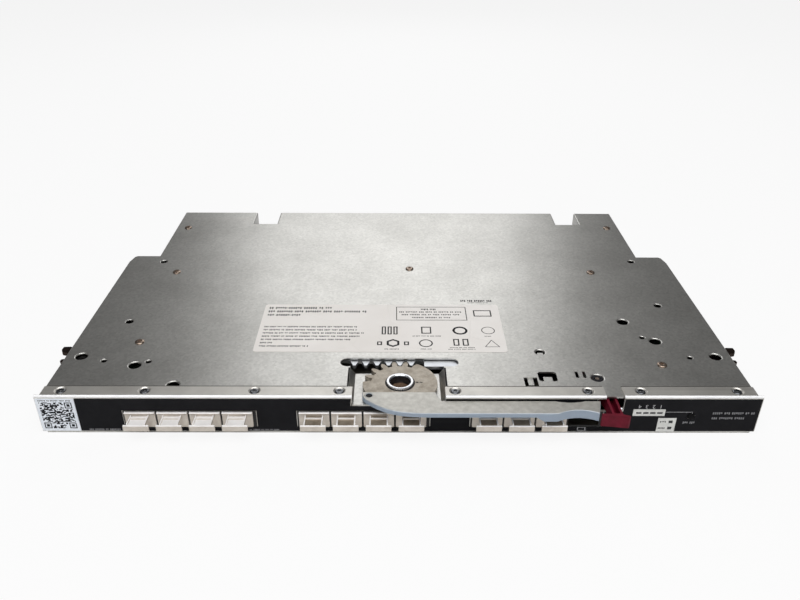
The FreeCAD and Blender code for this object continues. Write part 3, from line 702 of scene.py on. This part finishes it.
marks = [
    (145.2, 160.4, 14.6, 14.85),
    (160.15, 160.4, 13.9, 14.85),
    (98.2, 102.8, 3.9, 4.2),
    (98.2, 102.8, 1.8, 2.1),
    (98.2, 98.7, 2.1, 3.9),
    (102.3, 102.8, 2.1, 3.9),
]
film_print = printed(marks, film_front - ink_height, film_front, "y")
small = lines_of((
    (-92.5, -66.0, 1.7, 2.7, 0.75),
    (-171.5, -151.8, 1.7, 2.9, 0.85),
    (156.2, 163.2, 6.7, 8.2, 1.0),
    (171.6, 195.0, 13.2, 14.6, 1.1),
    (171.6, 190.0, 9.8, 11.2, 1.1),
    (98.0, 103.0, 0.9, 1.4, 0.6),
))
ink_dim = finish("printed_dim", (150, 150, 152), (112, 112, 116), 0.0, 0.6, 900, 4000, 0.05)
small_print = printed(small, film_front - ink_height, film_front, "y")
fit(small_print, "film_small_print", ink_dim)
numbers = []
for group in range(3):
    for i in range(4):
        x = group_x[group] + (i - 1.5) * port_pitch
        numbers.append(numeral(str(12 - 4 * group - i), x + 2.2, 2.4, 1.5))
for i, (x, z, w, h) in enumerate(lamp_slots):
    numbers.append(numeral(str(4 - i), x + w / 2, 18.5, 3.4))
film_print = merge([film_print] + numbers)
fit(film_print, "film_print", ink_white)

# Code sticker at the left end: a bluish white label with a square of random black
# cells that holds no message, printed inside a clear margin.
sticker_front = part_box("code_sticker")[0][1] / mm - front
sticker_paper = finish(
    "sticker_paper", (242, 246, 252), (232, 238, 246), 0.0, 0.45, 200, 2500, 0.08, 0.2
)
paint("code_sticker", sticker_paper)
# Black for print, and also laid on pieces in holes and gaps as painted shade.
print_and_shade_black = finish(
    "print_and_painted_shade_black", (28, 28, 32), (18, 18, 22), 0.0, 0.55, 900, 4000, 0.05, specular=0.2
)
cells = 31
cell = 0.57
code_left = middle_of("code_sticker")[0] / mm - cells * cell / 2
code_low = 3.1
# Three corners carry the usual square marks, whose field of eight cells stays free.
mark = 7
field = mark + 1
far = cells - field
fill_share = 0.52
code = []
for row in range(cells):
    column = 0
    while column < cells:
        run = random.randint(1, 2)
        right = column + run > far
        corner = (row < field and (column < field or right)) or (row >= far and right)
        if random.random() < fill_share and not corner:
            x = code_left + cell * column
            wide = cell * min(run, cells - column)
            code.append((x, x + wide, code_low + cell * row, code_low + cell * (row + 1)))
        column += run
for column, row in ((0, 0), (cells - mark, 0), (cells - mark, cells - mark)):
    x = code_left + cell * column
    z = code_low + cell * row
    for a0, a1, b0, b1 in ((0, 7, 0, 1), (0, 7, 6, 7), (0, 1, 1, 6), (6, 7, 1, 6), (2, 5, 2, 5)):
        code.append((x + cell * a0, x + cell * a1, z + cell * b0, z + cell * b1))
code += words(code_left, code_left + cells * cell, 21.5, 22.3, 0.7)
code_print = printed(code, sticker_front - ink_height, sticker_front, "y")
fit(code_print, "code_print", print_and_shade_black)

# Indicator plates and their light pipes: two pale satin plastic plates on the film,
# with dark clear lenses that come through from stalks on the board.
plate_white = finish("indicator_white", (226, 226, 222), (208, 208, 205), 0.0, 0.5, 150, 2200, 0.06)
lens_dark = finish("lens_dark", (30, 32, 36), (16, 18, 22), 0.0, 0.18, 300, 900, 0.03, 0.6)
paint("indicator_plates", plate_white)
paint("light_pipes", lens_dark)
plate_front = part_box("indicator_plates")[0][1] / mm - front
signs = lines_of(((143.4, 147.2, 7.7, 8.7, 0.9), (143.0, 147.4, 3.3, 4.3, 0.8)))
plate_print = printed(signs, plate_front - ink_height, plate_front, "y")
fit(plate_print, "indicator_print", print_and_shade_black)

# Rating label: white polyester with rounded corners, a few fine creases and dark grey
# print that stands for its paragraphs and marks without spelling them. Two rows of
# the same print lie on the bare pan behind it.
label_low, label_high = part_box("rating_label")
label_top = label_high[2] / mm
label_ink = label_top + ink_height


def label_finish():
    # Smooth white film with a few long hairline creases pressed into it.
    material = finish(
        "label_white", (235, 231, 227), (226, 221, 216), 0.0, 0.5, 25, 1200, 0.05, 0.1
    )
    nodes = material.node_tree.nodes
    join = material.node_tree.links.new
    bump = next(n for n in nodes if n.bl_idname == "ShaderNodeBump")
    where = nodes.new("ShaderNodeTexCoord")
    crease = shader_node(material, "TexVoronoi", {"Scale": 26})
    crease.feature = "DISTANCE_TO_EDGE"
    edge = shader_node(material, "MapRange", {"From Max": 0.012})
    fold_bump = shader_node(material, "Bump", {"Strength": 0.35, "Distance": 0.0003})
    join(where.outputs["Object"], crease.inputs["Vector"])
    join(crease.outputs["Distance"], edge.inputs["Value"])
    join(edge.outputs["Result"], fold_bump.inputs["Height"])
    join(bump.outputs["Normal"], fold_bump.inputs["Normal"])
    join(fold_bump.outputs["Normal"], nodes["Principled BSDF"].inputs["Normal"])
    return material


left, near, foot = (n / mm for n in label_low)
right, far_side = (n / mm for n in label_high[:2])
label = rounded(left, near - front, right, far_side - front, 2.0, foot, label_top)
ease(label, 0.04)
fit(label, "rating_label_film", label_finish(), ["rating_label"])
ink_grey = finish(
    "printed_grey", (30, 30, 34), (18, 18, 22), 0.0, 0.6, 900, 4000, 0.05, specular=0.15
)
text_left = -84.0
lines = []
for i, length in enumerate((41.0, 64.0, 23.0)):
    y = 95.6 - 4.5 * i
    lines += words(text_left, text_left + length, y, y + 2.3, 1.45)
for i, length in enumerate((58.0, 58.0, 63.0, 61.0, 55.0, 8.0, 30.0)):
    y = 72.6 - 3.7 * i
    lines += words(text_left, text_left + length, y, y + 1.5, 0.95)
# The large frame on the label, the rows of print in it and those under the marks.
lines += [
    (-2.0, 43.0, 81.5, 82.0),
    (-2.0, 43.0, 98.0, 98.5),
    (-2.0, -1.5, 82.0, 98.0),
    (42.5, 43.0, 82.0, 98.0),
]
lines += lines_of((
    (14.0, 24.0, 94.2, 96.2, 1.0),
    (0.0, 41.0, 91.2, 92.6, 1.1),
    (1.5, 40.0, 87.8, 89.2, 1.1),
    (8.0, 33.0, 84.2, 85.6, 1.1),
    (8.0, 26.0, 62.2, 63.2, 0.7),
    (52.0, 56.5, 62.2, 63.0, 0.7),
    (-9.0, 1.0, 47.6, 48.6, 0.8),
    (12.5, 19.5, 47.8, 48.6, 0.7),
    (30.0, 46.0, 49.4, 50.2, 0.7),
    (29.0, 45.5, 47.6, 48.4, 0.7),
))
label_print = printed(lines, label_top, label_ink, "z")
# The marks are plain rings, a triangle among them, and plain frames.
stamps = []
for x, y, r, wide, sides in (
    (37.4, 69.2, 4.7, 1.5, 40),
    (54.8, 69.4, 4.2, 0.5, 40),
    (-4.0, 54.8, 4.4, 1.5, 6),
    (15.8, 54.6, 4.2, 0.8, 40),
    (55.6, 53.2, 5.3, 0.8, 3),
):
    band = [(r, label_top), (r, label_ink), (r - wide, label_ink), (r - wide, label_top)]
    stamps.append(turned(x, y, band, sides, False))
upright = 0.8
level = 0.9
for x0, y0, x1, y1 in (
    (-11.0, 64.6, -8.4, 73.8),
    (-7.4, 64.6, -4.8, 73.8),
    (-3.8, 64.6, -1.2, 73.8),
    (13.4, 65.6, 19.6, 73.6),
    (-13.6, 52.4, -10.6, 56.4),
    (2.6, 52.4, 5.6, 56.4),
    (32.4, 52.0, 36.0, 59.4),
    (38.0, 52.0, 41.6, 59.4),
    (47.5, 86.4, 59.0, 94.2),
):
    for a0, b0, a1, b1 in (
        (x0, y0, x0 + upright, y1),
        (x1 - upright, y0, x1, y1),
        (x0 + upright, y1 - level, x1 - upright, y1),
        (x0 + upright, y0, x1 - upright, y0 + level),
    ):
        stamps.append(block(a0, b0, label_top, a1, b1, label_ink))
label_print = merge([label_print] + stamps)
fit(label_print, "label_marks", ink_grey)
serial = lines_of(((40.5, 62.5, 105.6, 108.0, 1.2), (45.0, 58.5, 103.9, 104.8, 0.7)))
serial_print = printed(serial, pan_top, pan_top + ink_height, "z")
fit(serial_print, "serial_marks", ink_grey)

# Board and what stands on it and beside it: green laminate with gold edge tongues,
# black chips and a finned sink, plain steel posts and clips, and claw posts and rings in black as
# painted shade in their holes.
cage_nickel = finish("cage_nickel", (190, 186, 176), (166, 161, 150), 1.0, 0.35, 90, 1500, 0.12)
board_green = finish("board_green", (24, 66, 42), (14, 46, 28), 0.0, 0.4, 220, 1400, 0.1, 0.4)
tongue_gold = finish("tongue_gold", (214, 176, 92), (180, 140, 66), 1.0, 0.3, 400, 2000, 0.05)
chip_black = finish("chip_black", (36, 36, 38), (24, 24, 26), 0.0, 0.55, 250, 2400, 0.15)
sink_grey = finish("sink_grey", (150, 152, 156), (120, 122, 126), 1.0, 0.4, 100, 1500, 0.1)
post_steel = finish("post_steel", (180, 178, 172), (150, 148, 142), 1.0, 0.35, 120, 1500, 0.1)
connector_black = finish("connector_black", (30, 30, 33), (20, 20, 23), 0.0, 0.45, 150, 2000, 0.1)
for node, material in (
    ("circuit_board", board_green),
    ("socket_tongues", tongue_gold),
    ("board_chips", chip_black),
    ("button_switch", chip_black),
    ("heat_sink", sink_grey),
    ("chassis_pillars", post_steel),
    ("board_standoffs", post_steel),
    # Claw posts and rings are black as painted shade in the holes over them.
    ("claw_posts", print_and_shade_black),
    ("claw_rings", print_and_shade_black),
    ("bar_clips", zinc),
    ("latch_bracket", zinc),
):
    paint(node, material)

# Rear connectors: two black moulded shells on the board's rear edge, each with rows
# of square cavities that the enclosure's contacts plug into.
shell_low, shell_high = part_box("rear_connectors")
shell_half = 34.0
shells = []
for cx in (shell_low[0] / mm + shell_half, shell_high[0] / mm - shell_half):
    shell = block(cx - shell_half, 240.0, 5.0, cx + shell_half, 257.0, 18.6)
    cavities = []
    for i in range(12):
        x = cx - 31.5 + 5.3 * i
        for z in (6.6, 10.6, 14.6):
            cavities.append(block(x, 248.0, z, x + 3.6, 258.0, z + 2.8))
    work(shell, cavities)
    work(shell, [block(cx - 33.0, 239.0, 15.6, cx + 33.0, 242.0, 19.0)])
    shells.append(ease(shell, 0.3))
shells = merge(shells)
fit(shells, "rear_connector_shells", connector_black, ["rear_connectors"])

# Port covers: eleven stamped nickel caps that blank the sockets. Each is a box body
# with a front plate, a rolled top lip, a ribbed tongue to pull and a turned down end.
cover_nickel = finish("cover_nickel", (222, 214, 204), (202, 193, 182), 0.35, 0.4, 200, 1700, 0.12)
# A lighter copy of the nickel for painted highlights and a darker one for painted shade.
cover_painted_highlight = finish("cover_painted_highlight", (252, 250, 249), (240, 237, 235), 0.1, 0.45, 200, 1700, 0.1)
cover_painted_shade = finish("cover_painted_shade", (170, 158, 142), (138, 126, 110), 0.5, 0.4, 200, 1700, 0.12)
tongue_top = 12.2


def port_cover(x):
    # Front plate with cut corners, rolled lip, tongue, its two ribs and cross rib, the
    # turned down end and the hollow box that goes into the socket.
    wide, narrow = 8.35, 7.85
    corners = [(x - wide, 5.1), (x - narrow, 4.6), (x + narrow, 4.6), (x + wide, 5.1)]
    corners += [(x + wide, 14.3), (x + narrow, 14.8), (x - narrow, 14.8), (x - wide, 14.3)]
    pieces = [ease(slab(corners, -0.9, -0.3, "y"), 0.12)]
    roll = [(-0.3, 14.8), (-1.4, 14.8)]
    for i in range(1, 8):
        a = math.radians(90 + 22.5 * i)
        roll.append((-1.4 + 0.5 * math.cos(a), 14.3 + 0.5 * math.sin(a)))
    roll += [(-1.4, 13.8), (-0.3, 13.8)]
    pieces.append(ease(slab(roll, x - 8.2, x + 8.2, "x"), 0))
    pieces.append(ease(block(x - 5.1, -9.0, 11.6, x + 5.1, -0.8, tongue_top), 0.15))
    rib = [(-9.1, 12.1), (-0.8, 12.1), (-0.8, 13.1), (-1.6, 12.9), (-8.6, 12.9)]
    for middle in (x - 4.7, x + 4.7):
        pieces.append(ease(slab(rib, middle - 0.4, middle + 0.4, "x"), 0.15))
    cross = [(-4.1, 12.1), (-2.7, 12.1), (-3.1, 12.9), (-3.7, 12.9)]
    pieces.append(ease(slab(cross, x - 4.4, x + 4.4, "x"), 0.1))
    lip = [(-9.6, 11.5), (-9.53, 11.8), (-9.35, 12.05), (-9.1, tongue_top), (-8.6, tongue_top)]
    lip += [(-8.6, 8.2), (-9.2, 8.2), (-9.6, 8.6)]
    pieces.append(ease(slab(lip, x - 6.9, x + 6.9, "x"), 0.1))
    shell = block(x - 8.2, -0.35, 6.1, x + 8.2, 22.0, 14.2)
    work(shell, [block(x - 7.6, 0.5, 6.7, x + 7.6, 23.0, 13.6)])
    pieces.append(ease(shell, 0.12))
    return merge(pieces)


first_x = group_x[0] - 1.5 * port_pitch
first_cover = port_cover(first_x)
covers = []
for group in range(3):
    for i in range(4):
        x = group_x[group] + (i - 1.5) * port_pitch
        if group == 2 and i == 3:
            continue
        copy = twin(first_cover, "port_cover")
        copy.location.x = (x - first_x) * mm
        settle()
        name = "port_cover_" + str(len(covers) + 1)
        stands_for = () if covers else ["port_plugs"]
        fit(copy, name, cover_nickel, stands_for)
        copy.data.materials.append(cover_painted_highlight)
        copy.data.materials.append(cover_painted_shade)
        # Faces that look up take a lighter copy of the nickel as a painted highlight, and the
        # tongues' floors right of the first group a darker copy as painted shade.
        for face in copy.data.polygons:
            deep = face.center.y / mm - front
            if face.normal.z > 0.5 and deep < -0.4:
                on_floor = abs(face.center.z / mm - tongue_top) < 0.12 and -8.5 < deep
                face.material_index = 2 if on_floor and group > 0 else 1
        covers.append(copy)
bpy.data.objects.remove(first_cover, do_unlink=True)

# Screws: small sunk heads along the flange, brownish pan heads on the lid and sunk
# ones under the module, all with a six lobed recess pressed into the head.
screw_zinc = finish("screw_zinc", (128, 130, 134), (96, 98, 102), 1.0, 0.28, 600, 2000, 0.08)
screw_brown = finish("screw_brown", (182, 166, 152), (134, 116, 104), 1.0, 0.3, 700, 2000, 0.1)


def recess(x, y, low, high, r):
    # The tool that presses the drive: a star of six round lobes.
    points = []
    steps = 36
    for i in range(steps):
        a = 2 * math.pi * i / steps
        wave = r * (0.84 + 0.16 * math.cos(6 * a))
        points.append((x + wave * math.cos(a), y + wave * math.sin(a)))
    return slab(points, low, high)


def screws(node, places, material, rings, drive):
    # One screw is turned and pressed, and its copies are set in all the places.
    name = node[:-1] + "_heads"
    x0, y0 = places[0]
    master = turned(x0, y0, rings, 40)
    work(master, [recess(x0, y0, *drive)])
    ease(master, 0.06, 2, 50)
    copies = []
    for x, y in places:
        copy = twin(master, name)
        copy.location = ((x - x0) * mm, (y - y0) * mm, 0)
        settle()
        copies.append(copy)
    bpy.data.objects.remove(master, do_unlink=True)
    fit(merge(copies), name, material, [node])


screws(
    "flange_screws",
    [(x, flange_screw_y) for x in flange_screw_x],
    screw_zinc,
    [(1.3, 20.6), (1.3, 23.75), (2.35, 24.25), (2.45, 24.55), (2.2, 24.8), (1.7, 24.9)],
    (23.9, 26, 1.3),
)
screws(
    "pan_screws",
    pan_screw_places,
    screw_brown,
    [(1.45, 22.6), (1.45, 24.0), (2.8, 24.0), (2.8, 24.45), (2.3, 24.8), (1.5, 24.9)],
    (24.3, 26, 1.2),
)
screws(
    "cover_screws",
    cover_screw_places,
    screw_zinc,
    [(2.4, 0.05), (2.65, 0.1), (1.3, 0.9), (1.3, 4.6)],
    (-1, 0.6, 1.25),
)

# Port cages: bright stamped boxes in three gangs. Their front faces in the gaps between
# the covers, where they sit deep, take a near black finish as painted shade.


def dressed(node, name, material, width, rounds=2, sharp=35):
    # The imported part's own shape, its loose triangles merged and its sharp edges broken.
    source = frame["nodes"][node]
    piece = twin(source, name)
    open_up(piece, "SELECT")
    bpy.ops.mesh.customdata_custom_splitnormals_clear()
    bpy.ops.mesh.remove_doubles(threshold=0.000002)
    bpy.ops.mesh.dissolve_limited(angle_limit=math.radians(1))
    free_hands()
    ease(piece, width, rounds, sharp)
    return fit(piece, name, material, [node], source["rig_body"])


cages = dressed("port_cages", "port_cage_gangs", cage_nickel, 0)
cage_gap_painted_shade = finish("cage_gap_painted_shade", (30, 29, 28), (20, 20, 20), 0.0, 0.6, 300, 2000, 0.1)
cages.data.materials.append(cage_gap_painted_shade)
# Front faces between the covers get the painted shade.
for face in cages.data.polygons:
    x = face.center.x / mm
    inside = any(gx - 36.5 < x < gx + 35.7 for gx in group_x)
    if face.normal.y < -0.9 and inside and face.center.y < (front + 1) * mm:
        face.material_index = 1

# Drive bar under the slot: a bright punched steel rack whose teeth show above the
# gear, with cam slots at both ends that turn the claws. Its ends are darkened to black as painted
# shade.


def rack_finish():
    # Bright in the middle, and darkened to black beyond 60 to 75 mm from it as painted shade.
    material = finish("rack_steel", (218, 221, 225), (198, 201, 206), 1.0, 0.38, 150, 1700, 0.08)
    nodes = material.node_tree.nodes
    join = material.node_tree.links.new
    colour = nodes["Principled BSDF"].inputs["Base Color"]
    where = nodes.new("ShaderNodeTexCoord")
    split = nodes.new("ShaderNodeSeparateXYZ")
    off_middle = nodes.new("ShaderNodeMath")
    off_middle.operation = "ABSOLUTE"
    painted_shade_fade = shader_node(material, "MapRange", {"From Min": 0.06, "From Max": 0.075})
    blend = nodes.new("ShaderNodeMix")
    blend.data_type = "RGBA"
    blend.inputs["B"].default_value = tint(26, 25, 25)
    join(where.outputs["Object"], split.inputs["Vector"])
    join(split.outputs["X"], off_middle.inputs[0])
    join(off_middle.outputs["Value"], painted_shade_fade.inputs["Value"])
    join(painted_shade_fade.outputs["Result"], blend.inputs["Factor"])
    join(colour.links[0].from_socket, blend.inputs["A"])
    join(blend.outputs["Result"], colour)
    return material


dressed("drive_bar", "drive_bar_rack", rack_finish(), 0.15)

# Claws: dark phosphated steel hooks, one at each end, that swing out of the side
# windows and pull the module into its bay.
claw_dark = finish("claw_dark", (62, 48, 42), (34, 27, 25), 1.0, 0.45, 260, 1800, 0.2)
dressed("claw_left", "claw_left_hook", claw_dark, 0.3)
dressed("claw_right", "claw_right_hook", claw_dark, 0.3)

# Gear sector: a thick sintered steel disc, toothed over its rear left, dull tan grey
# with darker smudges, riveted under the handle and turning on the bushing.


def gear_finish():
    # Small smudges of oil over the sintered metal's own patches.
    material = finish("gear_steel", (194, 186, 174), (164, 155, 142), 1.0, 0.48, 140, 1300, 0.3)
    nodes = material.node_tree.nodes
    join = material.node_tree.links.new
    where = nodes.new("ShaderNodeTexCoord")
    smudge = shader_node(material, "TexNoise", {"Scale": 420, "Detail": 8, "Roughness": 0.7})
    spread_settings = {"From Min": 0.35, "From Max": 0.65, "To Min": 0.78, "To Max": 1.04}
    spread = shader_node(material, "MapRange", spread_settings)
    join(where.outputs["Object"], smudge.inputs["Vector"])
    join(smudge.outputs["Fac"], spread.inputs["Value"])
    darken(material, spread.outputs["Result"])
    return material


dressed("gear_sector", "gear_plate", gear_finish(), 0.18)
nicks = merge([
    slab([(8.6, 16.7), (9.6, 16.3), (10.4, 16.6), (10.2, 17.1), (9.2, 17.3)], 22.3, 22.33),
    slab([(10.8, 16.8), (12.0, 16.4), (12.8, 16.7), (12.2, 17.2), (11.2, 17.3)], 22.3, 22.33),
])
fit(nicks, "gear_marks", print_and_shade_black, body="lever")

# Lever handle: a satin steel top plate over a blue grey moulded grip, bevelled all
# round, with a finger scallop near its end. Three rivets fix it on the gear's tail.


def handle_finish():
    # The top is speckled satin metal, and the sides take the cooler tone of the grip.
    material = finish("handle_satin", (206, 204, 198), (184, 182, 176), 1.0, 0.45, 320, 1600, 0.3)
    nodes = material.node_tree.nodes
    join = material.node_tree.links.new
    shader = nodes["Principled BSDF"]
    shape = nodes.new("ShaderNodeNewGeometry")
    parts = nodes.new("ShaderNodeSeparateXYZ")
    side = shader_node(material, "MapRange", {"From Min": 0.55, "From Max": 0.95})
    grip = nodes.new("ShaderNodeMix")
    grip.data_type = "RGBA"
    grip.inputs["A"].default_value = tint(150, 163, 178)
    tone = shader.inputs["Base Color"].links[0].from_socket
    join(shape.outputs["True Normal"], parts.inputs["Vector"])
    join(parts.outputs["Z"], side.inputs["Value"])
    join(side.outputs["Result"], grip.inputs["Factor"])
    join(tone, grip.inputs["B"])
    join(grip.outputs["Result"], shader.inputs["Base Color"])
    join(side.outputs["Result"], shader.inputs["Metallic"])
    return material


handle_satin = handle_finish()
dressed("lever_handle", "lever_grip", handle_satin, 0.25, 3)
hollow_rivet = (-17.0, 4.2)
hollow = [(1.7, 19.95), (1.7, 22.1), (2.55, 22.1), (2.55, 22.5), (2.45, 22.58)]
hollow += [(1.95, 22.58), (1.85, 22.4), (1.7, 20.6)]
solid = [(1.7, 19.95), (1.7, 22.1), (2.58, 22.1), (2.58, 22.56), (2.45, 22.6)]
rivets = [turned(*hollow_rivet, hollow, 48)]
for x, y in ((8.2, -5.9), (22.5, -5.6)):
    rivets.append(turned(x, y, solid, 48))
rivets = ease(merge(rivets), 0)
fit(rivets, "lever_rivets", handle_satin, ["handle_rivets"], "lever")
# A black disc in the hollow rivet's mouth is painted shade down its bore.
bore = turned(*hollow_rivet, [(1.8, 22.2), (1.8, 22.35)], 48)
fit(ease(bore, 0), "lever_rivet_bore_shade", print_and_shade_black, body="lever")

# Pivot bushing: a bright turned sleeve clinched into the tray with a rolled flange; the black ring
# round it, its darker bore walls and its brown floor's darkness are painted shade.
chrome = finish("chrome_bright", (244, 245, 247), (222, 224, 229), 1.0, 0.28, 300, 1500, 0.03)
sleeve = [(6.9, 18.6), (6.9, 22.42), (7.6, 22.42), (7.6, 23.1), (7.45, 23.4), (7.1, 23.5)]
sleeve += [(6.35, 23.5), (6.05, 23.35), (5.8, 22.9), (5.45, 22.4), (5.4, 18.0), (8.2, 18.0)]
sleeve += [(8.2, 18.6), (6.9, 18.6)]
bush = turned(*pivot, sleeve, 96, False)
ease(bush, 0)
fit(bush, "pivot_ring", chrome, ["pivot_bushing"])
# The bore's walls take a darker copy of the steel as painted shade.
pivot_bore_painted_shade = finish("pivot_bore_painted_shade", (104, 110, 120), (70, 76, 86), 1.0, 0.3, 300, 1500, 0.08)
bush.data.materials.append(pivot_bore_painted_shade)
for face in bush.data.polygons:
    off = Vector((face.center.x / mm - pivot[0], face.center.y / mm - front - pivot[1]))
    if off.length < 5.7 and face.center.z < 22.9 * mm:
        face.material_index = 1
# The bore's floor is brown, darkened as painted shade.
cup = turned(*pivot, [(5.38, 18.02), (5.38, 18.38), (5.1, 18.42)], 64)
bore_floor_brown_and_shade = finish("bore_floor_brown_shaded", (124, 98, 74), (70, 52, 38), 0.0, 0.6, 500, 1800, 0.2)
fit(ease(cup, 0), "pivot_bore_floor", bore_floor_brown_and_shade)
# A black ring on the gear round the bushing is painted shade in the gap between them.
shade_ring_rings = [(7.62, 22.32), (8.4, 22.32), (8.4, 22.3), (7.62, 22.3), (7.62, 22.32)]
shade_ring = turned(*pivot, shade_ring_rings, 64, False)
fit(ease(shade_ring, 0), "pivot_shade_ring", print_and_shade_black)

# Release latch: maroon moulded plastic, a channelled stem on its own screw and a
# curved thumb pad, with a small bright stud and a coil spring beside the stem.
maroon = finish(
    "maroon_plastic", (108, 14, 37), (86, 9, 27), 0.0, 0.5, 180, 1600, 0.12, specular=0.2
)
dressed("release_latch", "latch_moulding", maroon, 0.35, 3, 25)
stud_round = []
for i in range(12):
    a = math.radians(30 * i)
    stud_round.append((-5.2 + 1.0 * math.cos(a), 20.6 + 1.0 * math.sin(a)))
stud = slab(stud_round, 117.6, 119.4, "x")
fit(ease(stud, 0.25), "latch_stud_pin", chrome, ["latch_stud"], "latch_body")
# The latch's screw is black as painted shade in the hole over it.
dressed("latch_screw", "latch_pivot_screw", print_and_shade_black, 0.1)
drive_x, drive_y = middle_of("latch_screw")[:2]
drive_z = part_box("latch_screw")[1][2] / mm
drive_rings = [(1.1, drive_z), (1.1, drive_z + 0.03), (0.9, drive_z + 0.05)]
drive = turned(drive_x / mm, drive_y / mm - front, drive_rings, 32)
fit(ease(drive, 0), "latch_screw_drive", screw_brown)
spring_low, spring_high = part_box("latch_spring")
spring_y, spring_z = middle_of("latch_spring")[1:]
# The coil starts past the latch's travel, so the pressed latch stays clear of it.
latch_travel = 0.0016
end_gap = 0.0003
spring_left = spring_low[0] + end_gap + latch_travel
spring_right = spring_high[0] - end_gap
spring_r = 0.0017
turns = 5
coil = bpy.data.curves.new("latch_coil", "CURVE")
coil.dimensions = "3D"
coil.bevel_depth = 0.00028
coil.bevel_resolution = 3
coil.use_fill_caps = True
wire = coil.splines.new("POLY")
steps = 160
wire.points.add(steps)
for i in range(steps + 1):
    a = 2 * math.pi * turns * i / steps
    x = spring_left + (spring_right - spring_left) * i / steps
    wire.points[i].co = (x, spring_y + spring_r * math.cos(a), spring_z + spring_r * math.sin(a), 1)
spring = bpy.data.objects.new("latch_coil", coil)
bpy.context.scene.collection.objects.link(spring)
take(spring)
bpy.ops.object.convert(target="MESH")
ease(spring, 0)
spring_steel = finish("spring_steel", (190, 190, 190), (150, 150, 152), 1.0, 0.25, 500, 2000, 0.05)
fit(spring, "latch_coil_spring", spring_steel, ["latch_spring"])

# Mode button: a black domed cap that stands a little proud of the film. It is turned
# upright and then laid over to point out of the face.
button_black = finish(
    "button_black", (14, 14, 15), (8, 8, 9), 0.0, 0.5, 300, 2000, 0.06, specular=0.1
)
button = turned(0, 0, [(1.9, 3.3), (1.9, -0.4), (1.8, -0.65), (1.5, -0.82), (0.9, -0.88)], 48)
take(button)
button.matrix_world = (
    Matrix.Translation(spot(button_middle[0] / mm, button_middle[2] / mm, 0, "y"))
    @ Matrix(((1, 0, 0, 0), (0, 0, 1, 0), (0, -1, 0, 0), (0, 0, 0, 1)))
    @ Matrix.Translation(-spot(0, 0, 0, "z"))
)
settle()
ease(button, 0)
fit(button, "mode_button_cap", button_black, ["mode_button"], "button_body")

# Floor, backdrop light and lamps: a plain white floor under an even studio light,
# with one large soft panel behind that gives the lid its bright middle.
free_hands()
bpy.ops.mesh.primitive_plane_add(size=8.0, location=(0, 0, 0))
floor = bpy.context.object
floor.name = "studio_floor"
white = bpy.data.materials.new("studio_white")
white.use_nodes = True
nodes = white.node_tree.nodes
join = white.node_tree.links.new
matte = nodes["Principled BSDF"]
matte.inputs["Base Color"].default_value = (0.8, 0.8, 0.8, 1)
matte.inputs["Roughness"].default_value = 0.9
matte.inputs["Specular IOR Level"].default_value = 0.0
paths = nodes.new("ShaderNodeLightPath")
glow = shader_node(white, "Emission", {"Color": (1, 1, 1, 1), "Strength": 1.0})
blend = nodes.new("ShaderNodeMixShader")
share = nodes.new("ShaderNodeMath")
share.operation = "MULTIPLY"
share.inputs[1].default_value = 0.88
join(paths.outputs["Is Camera Ray"], share.inputs[0])
join(share.outputs["Value"], blend.inputs["Fac"])
join(matte.outputs["BSDF"], blend.inputs[1])
join(glow.outputs["Emission"], blend.inputs[2])
join(blend.outputs["Shader"], nodes["Material Output"].inputs["Surface"])
floor.data.materials.append(white)

world = bpy.data.worlds.new("studio")
bpy.context.scene.world = world
world.use_nodes = True
world.node_tree.nodes["Background"].inputs["Color"].default_value = (1, 1, 1, 1)
world.node_tree.nodes["Background"].inputs["Strength"].default_value = 0.12


def panel(name, place, width, height, strength):
    # A soft box that looks at the middle of the floor.
    lamp = bpy.data.lights.new(name, "AREA")
    lamp.shape = "RECTANGLE"
    lamp.size = width
    lamp.size_y = height
    lamp.energy = strength * math.pi * width * height
    holder = bpy.data.objects.new(name, lamp)
    bpy.context.scene.collection.objects.link(holder)
    turn = (-Vector(place)).to_track_quat("-Z", "Y").to_matrix().to_4x4()
    holder.matrix_world = Matrix.Translation(place) @ turn


panel("rear_softbox", (-0.01, 0.92, 0.66), 0.64, 0.8, 1.57)
panel("overhead", (0.0, -0.6, 1.25), 1.8, 1.1, 2.9)
panel("front_fill", (0.0, -1.3, 0.6), 1.4, 0.6, 0.8)
bpy.context.scene.view_settings.view_transform = "Standard"
